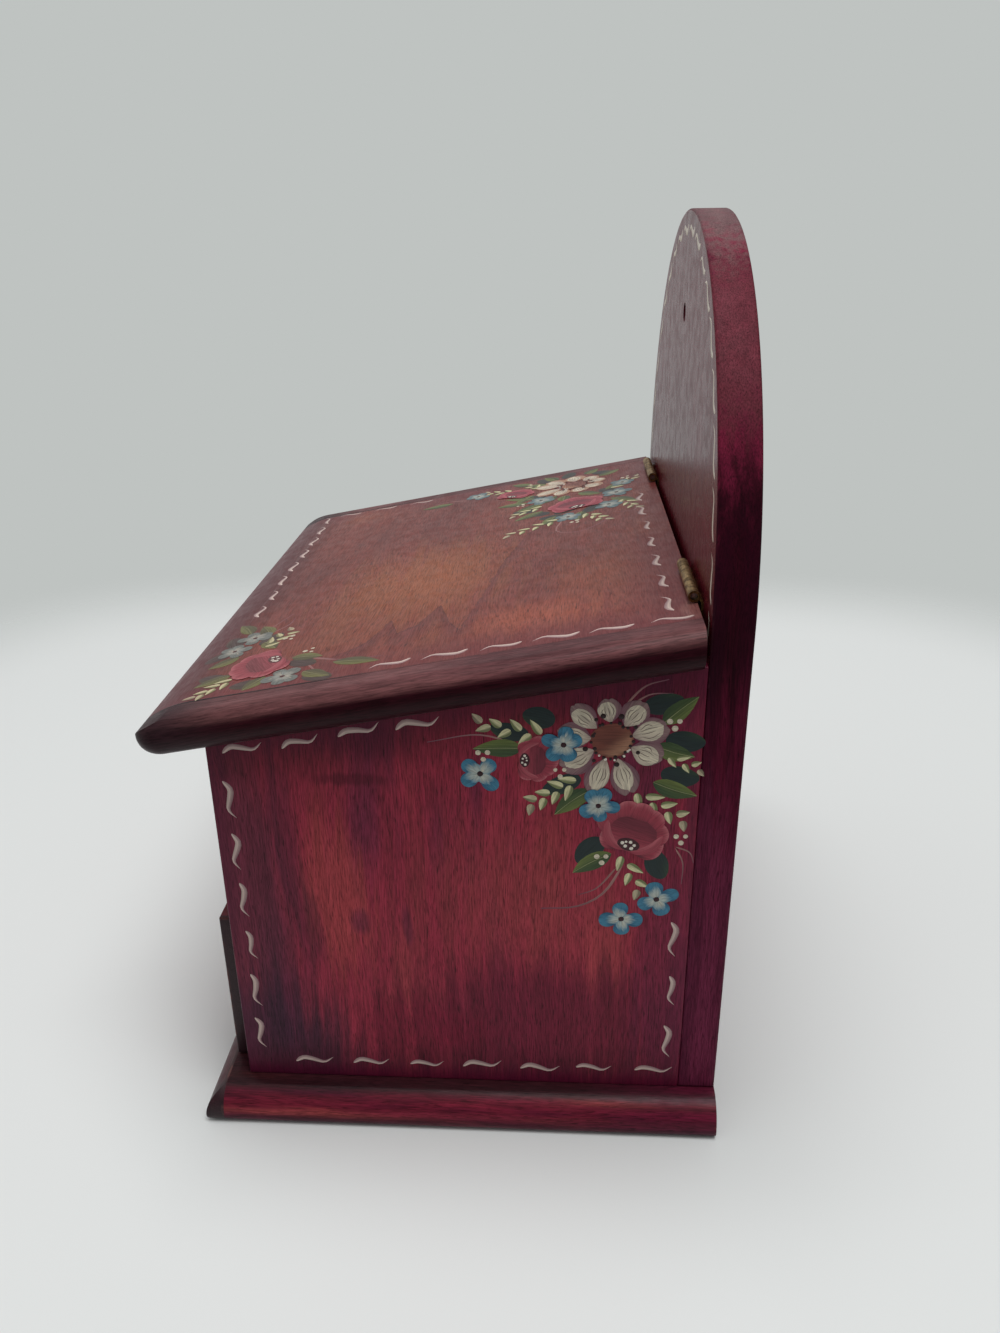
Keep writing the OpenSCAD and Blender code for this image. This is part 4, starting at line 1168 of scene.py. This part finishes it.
arch = border["arch"]
archReach = archRadius / mm - arch["inset"]
archAngles = [step * math.pi / arch["steps"] for step in range(1, arch["steps"])]
archRun = [(archReach * math.cos(a), archSpringZ / mm + archReach * math.sin(a)) for a in archAngles]
archRun = [(archReach, arch["foot"])] + archRun + [(-archReach, arch["foot"])]
layBorder("boxBorders", "box", border["box"], commaStrokes)
layBorder("archBorder", "box", [("back", archRun, arch["gap"], arch["size"])], archStrokes)
layBorder("lidBorders", "lid", border["lid"], commaStrokes)
layBorder("drawerBorders", "drawer", border["drawer"], commaStrokes)
for kit in (commaStrokes, archStrokes):
    for stroke in list(kit.objects):
        bpy.data.objects.remove(stroke)
    bpy.data.collections.remove(kit)
print("borders painted")

# Floor that fades out into a pale backdrop
stage = {"floor": (223, 226, 225), "backdrop": (191, 195, 193), "roughness": 0.75,
         "reach": 0.36, "fade": 0.16, "half": 1.6}
floorMesh = bpy.data.meshes.new("paleFloor")
half = stage["half"]
corners = [(-half, -half, 0), (half, -half, 0), (half, half, 0), (-half, half, 0)]
floorMesh.from_pydata(corners, [], [(0, 1, 2, 3)])
floor = bpy.data.objects.new("paleFloor", floorMesh)
scene.collection.objects.link(floor)
floorPaint, tree, place = newFinish("paleFloorPaint")
shader = tree.nodes["Principled BSDF"]
shader.inputs["Base Color"].default_value = linear(*stage["floor"])
shader.inputs["Roughness"].default_value = stage["roughness"]
ports = addNode(tree, "ShaderNodeSeparateXYZ", {0: place}).outputs
powers = [place.sum("POWER", abs(nodeValue(tree, port)), 4.0) for port in ports[:2]]
away = place.sum("POWER", powers[0] + powers[1], 0.25)  # a square with round corners
gone = addNode(tree, "ShaderNodeBsdfTransparent").outputs[0]
veil = away.ease(stage["reach"], stage["reach"] + stage["fade"])
mix = addNode(tree, "ShaderNodeMixShader", {0: veil, 1: shader.outputs[0], 2: gone}).outputs[0]
tree.links.new(mix, tree.nodes["Material Output"].inputs["Surface"])
floorMesh.materials.append(floorPaint)

# Light: a pale room, darker behind the camera, and one broad soft light above
light = {"room": 0.27, "behind": 0.14, "front": 2.2, "mirrored": (0.52, 0.10), "darkWay": (0.94, 0.0, -0.34),
         "lampPower": 31.5, "lampSize": (0.7, 1.7), "lampPlace": (0.18, 0.16, 2.0)}
world = bpy.data.worlds.new("paleRoom")
scene.world = world
world.use_nodes = True
tree = world.node_tree
way = nodeValue(tree, addNode(tree, "ShaderNodeTexCoord").outputs["Generated"])
facing = way.dot(light["darkWay"])
level = facing.ease(0.15, 0.85, light["room"], light["behind"])
level = level * way.dot((0.0, -1.0, 0.0)).ease(0.0, 0.9, 1.0, light["front"])
mirrored = facing.ease(0.15, 0.85, *light["mirrored"])
path = addNode(tree, "ShaderNodeLightPath").outputs
seen = nodeValue(tree, path["Is Camera Ray"]).most(path["Is Transmission Ray"])
level = level.make("ShaderNodeMix", {0: path["Is Glossy Ray"], 2: level, 3: mirrored})
feed(tree, tree.nodes["Background"].inputs["Color"], level.tinted(seen, linear(*stage["backdrop"])))
lampData = bpy.data.lights.new("softTop", "AREA")
lampData.shape, lampData.energy = "RECTANGLE", light["lampPower"]
lampData.size, lampData.size_y = light["lampSize"]
lamp = bpy.data.objects.new("softTop", lampData)
lamp.location = light["lampPlace"]
lamp.rotation_euler = Vector(light["lampPlace"]).to_track_quat("Z", "Y").to_euler()
scene.collection.objects.link(lamp)
scene.view_settings.view_transform = "Standard"
print("stage and light set")

# Camera at the photograph's viewing angle
shot = {"place": (0.3929, 0.0328, 0.2934), "yaw": -0.0600, "pitch": 0.4076, "roll": -0.0123, "focal": 1037.15,
        "imageHeight": 1333, "sensor": 36.0, "clipStart": 0.01}
yaw, pitch, roll = shot["yaw"], shot["pitch"], shot["roll"]
ahead = Vector((-math.cos(yaw) * math.cos(pitch), math.sin(yaw) * math.cos(pitch), -math.sin(pitch)))
right = ahead.cross(az).normalized()
above = right.cross(ahead)
right, above = (right * math.cos(roll) + above * math.sin(roll),
                above * math.cos(roll) - right * math.sin(roll))
cameraData = bpy.data.cameras.new("photoView")
cameraData.sensor_width = shot["sensor"]
cameraData.lens = shot["sensor"] * shot["focal"] / shot["imageHeight"]
cameraData.clip_start = shot["clipStart"]
camera = bpy.data.objects.new("photoView", cameraData)
turn = Matrix((right, above, -ahead)).transposed().to_4x4()
camera.matrix_world = Matrix.Translation(shot["place"]) @ turn
scene.collection.objects.link(camera)
scene.camera = camera

bpy.context.view_layer.update()
print("scene ready")
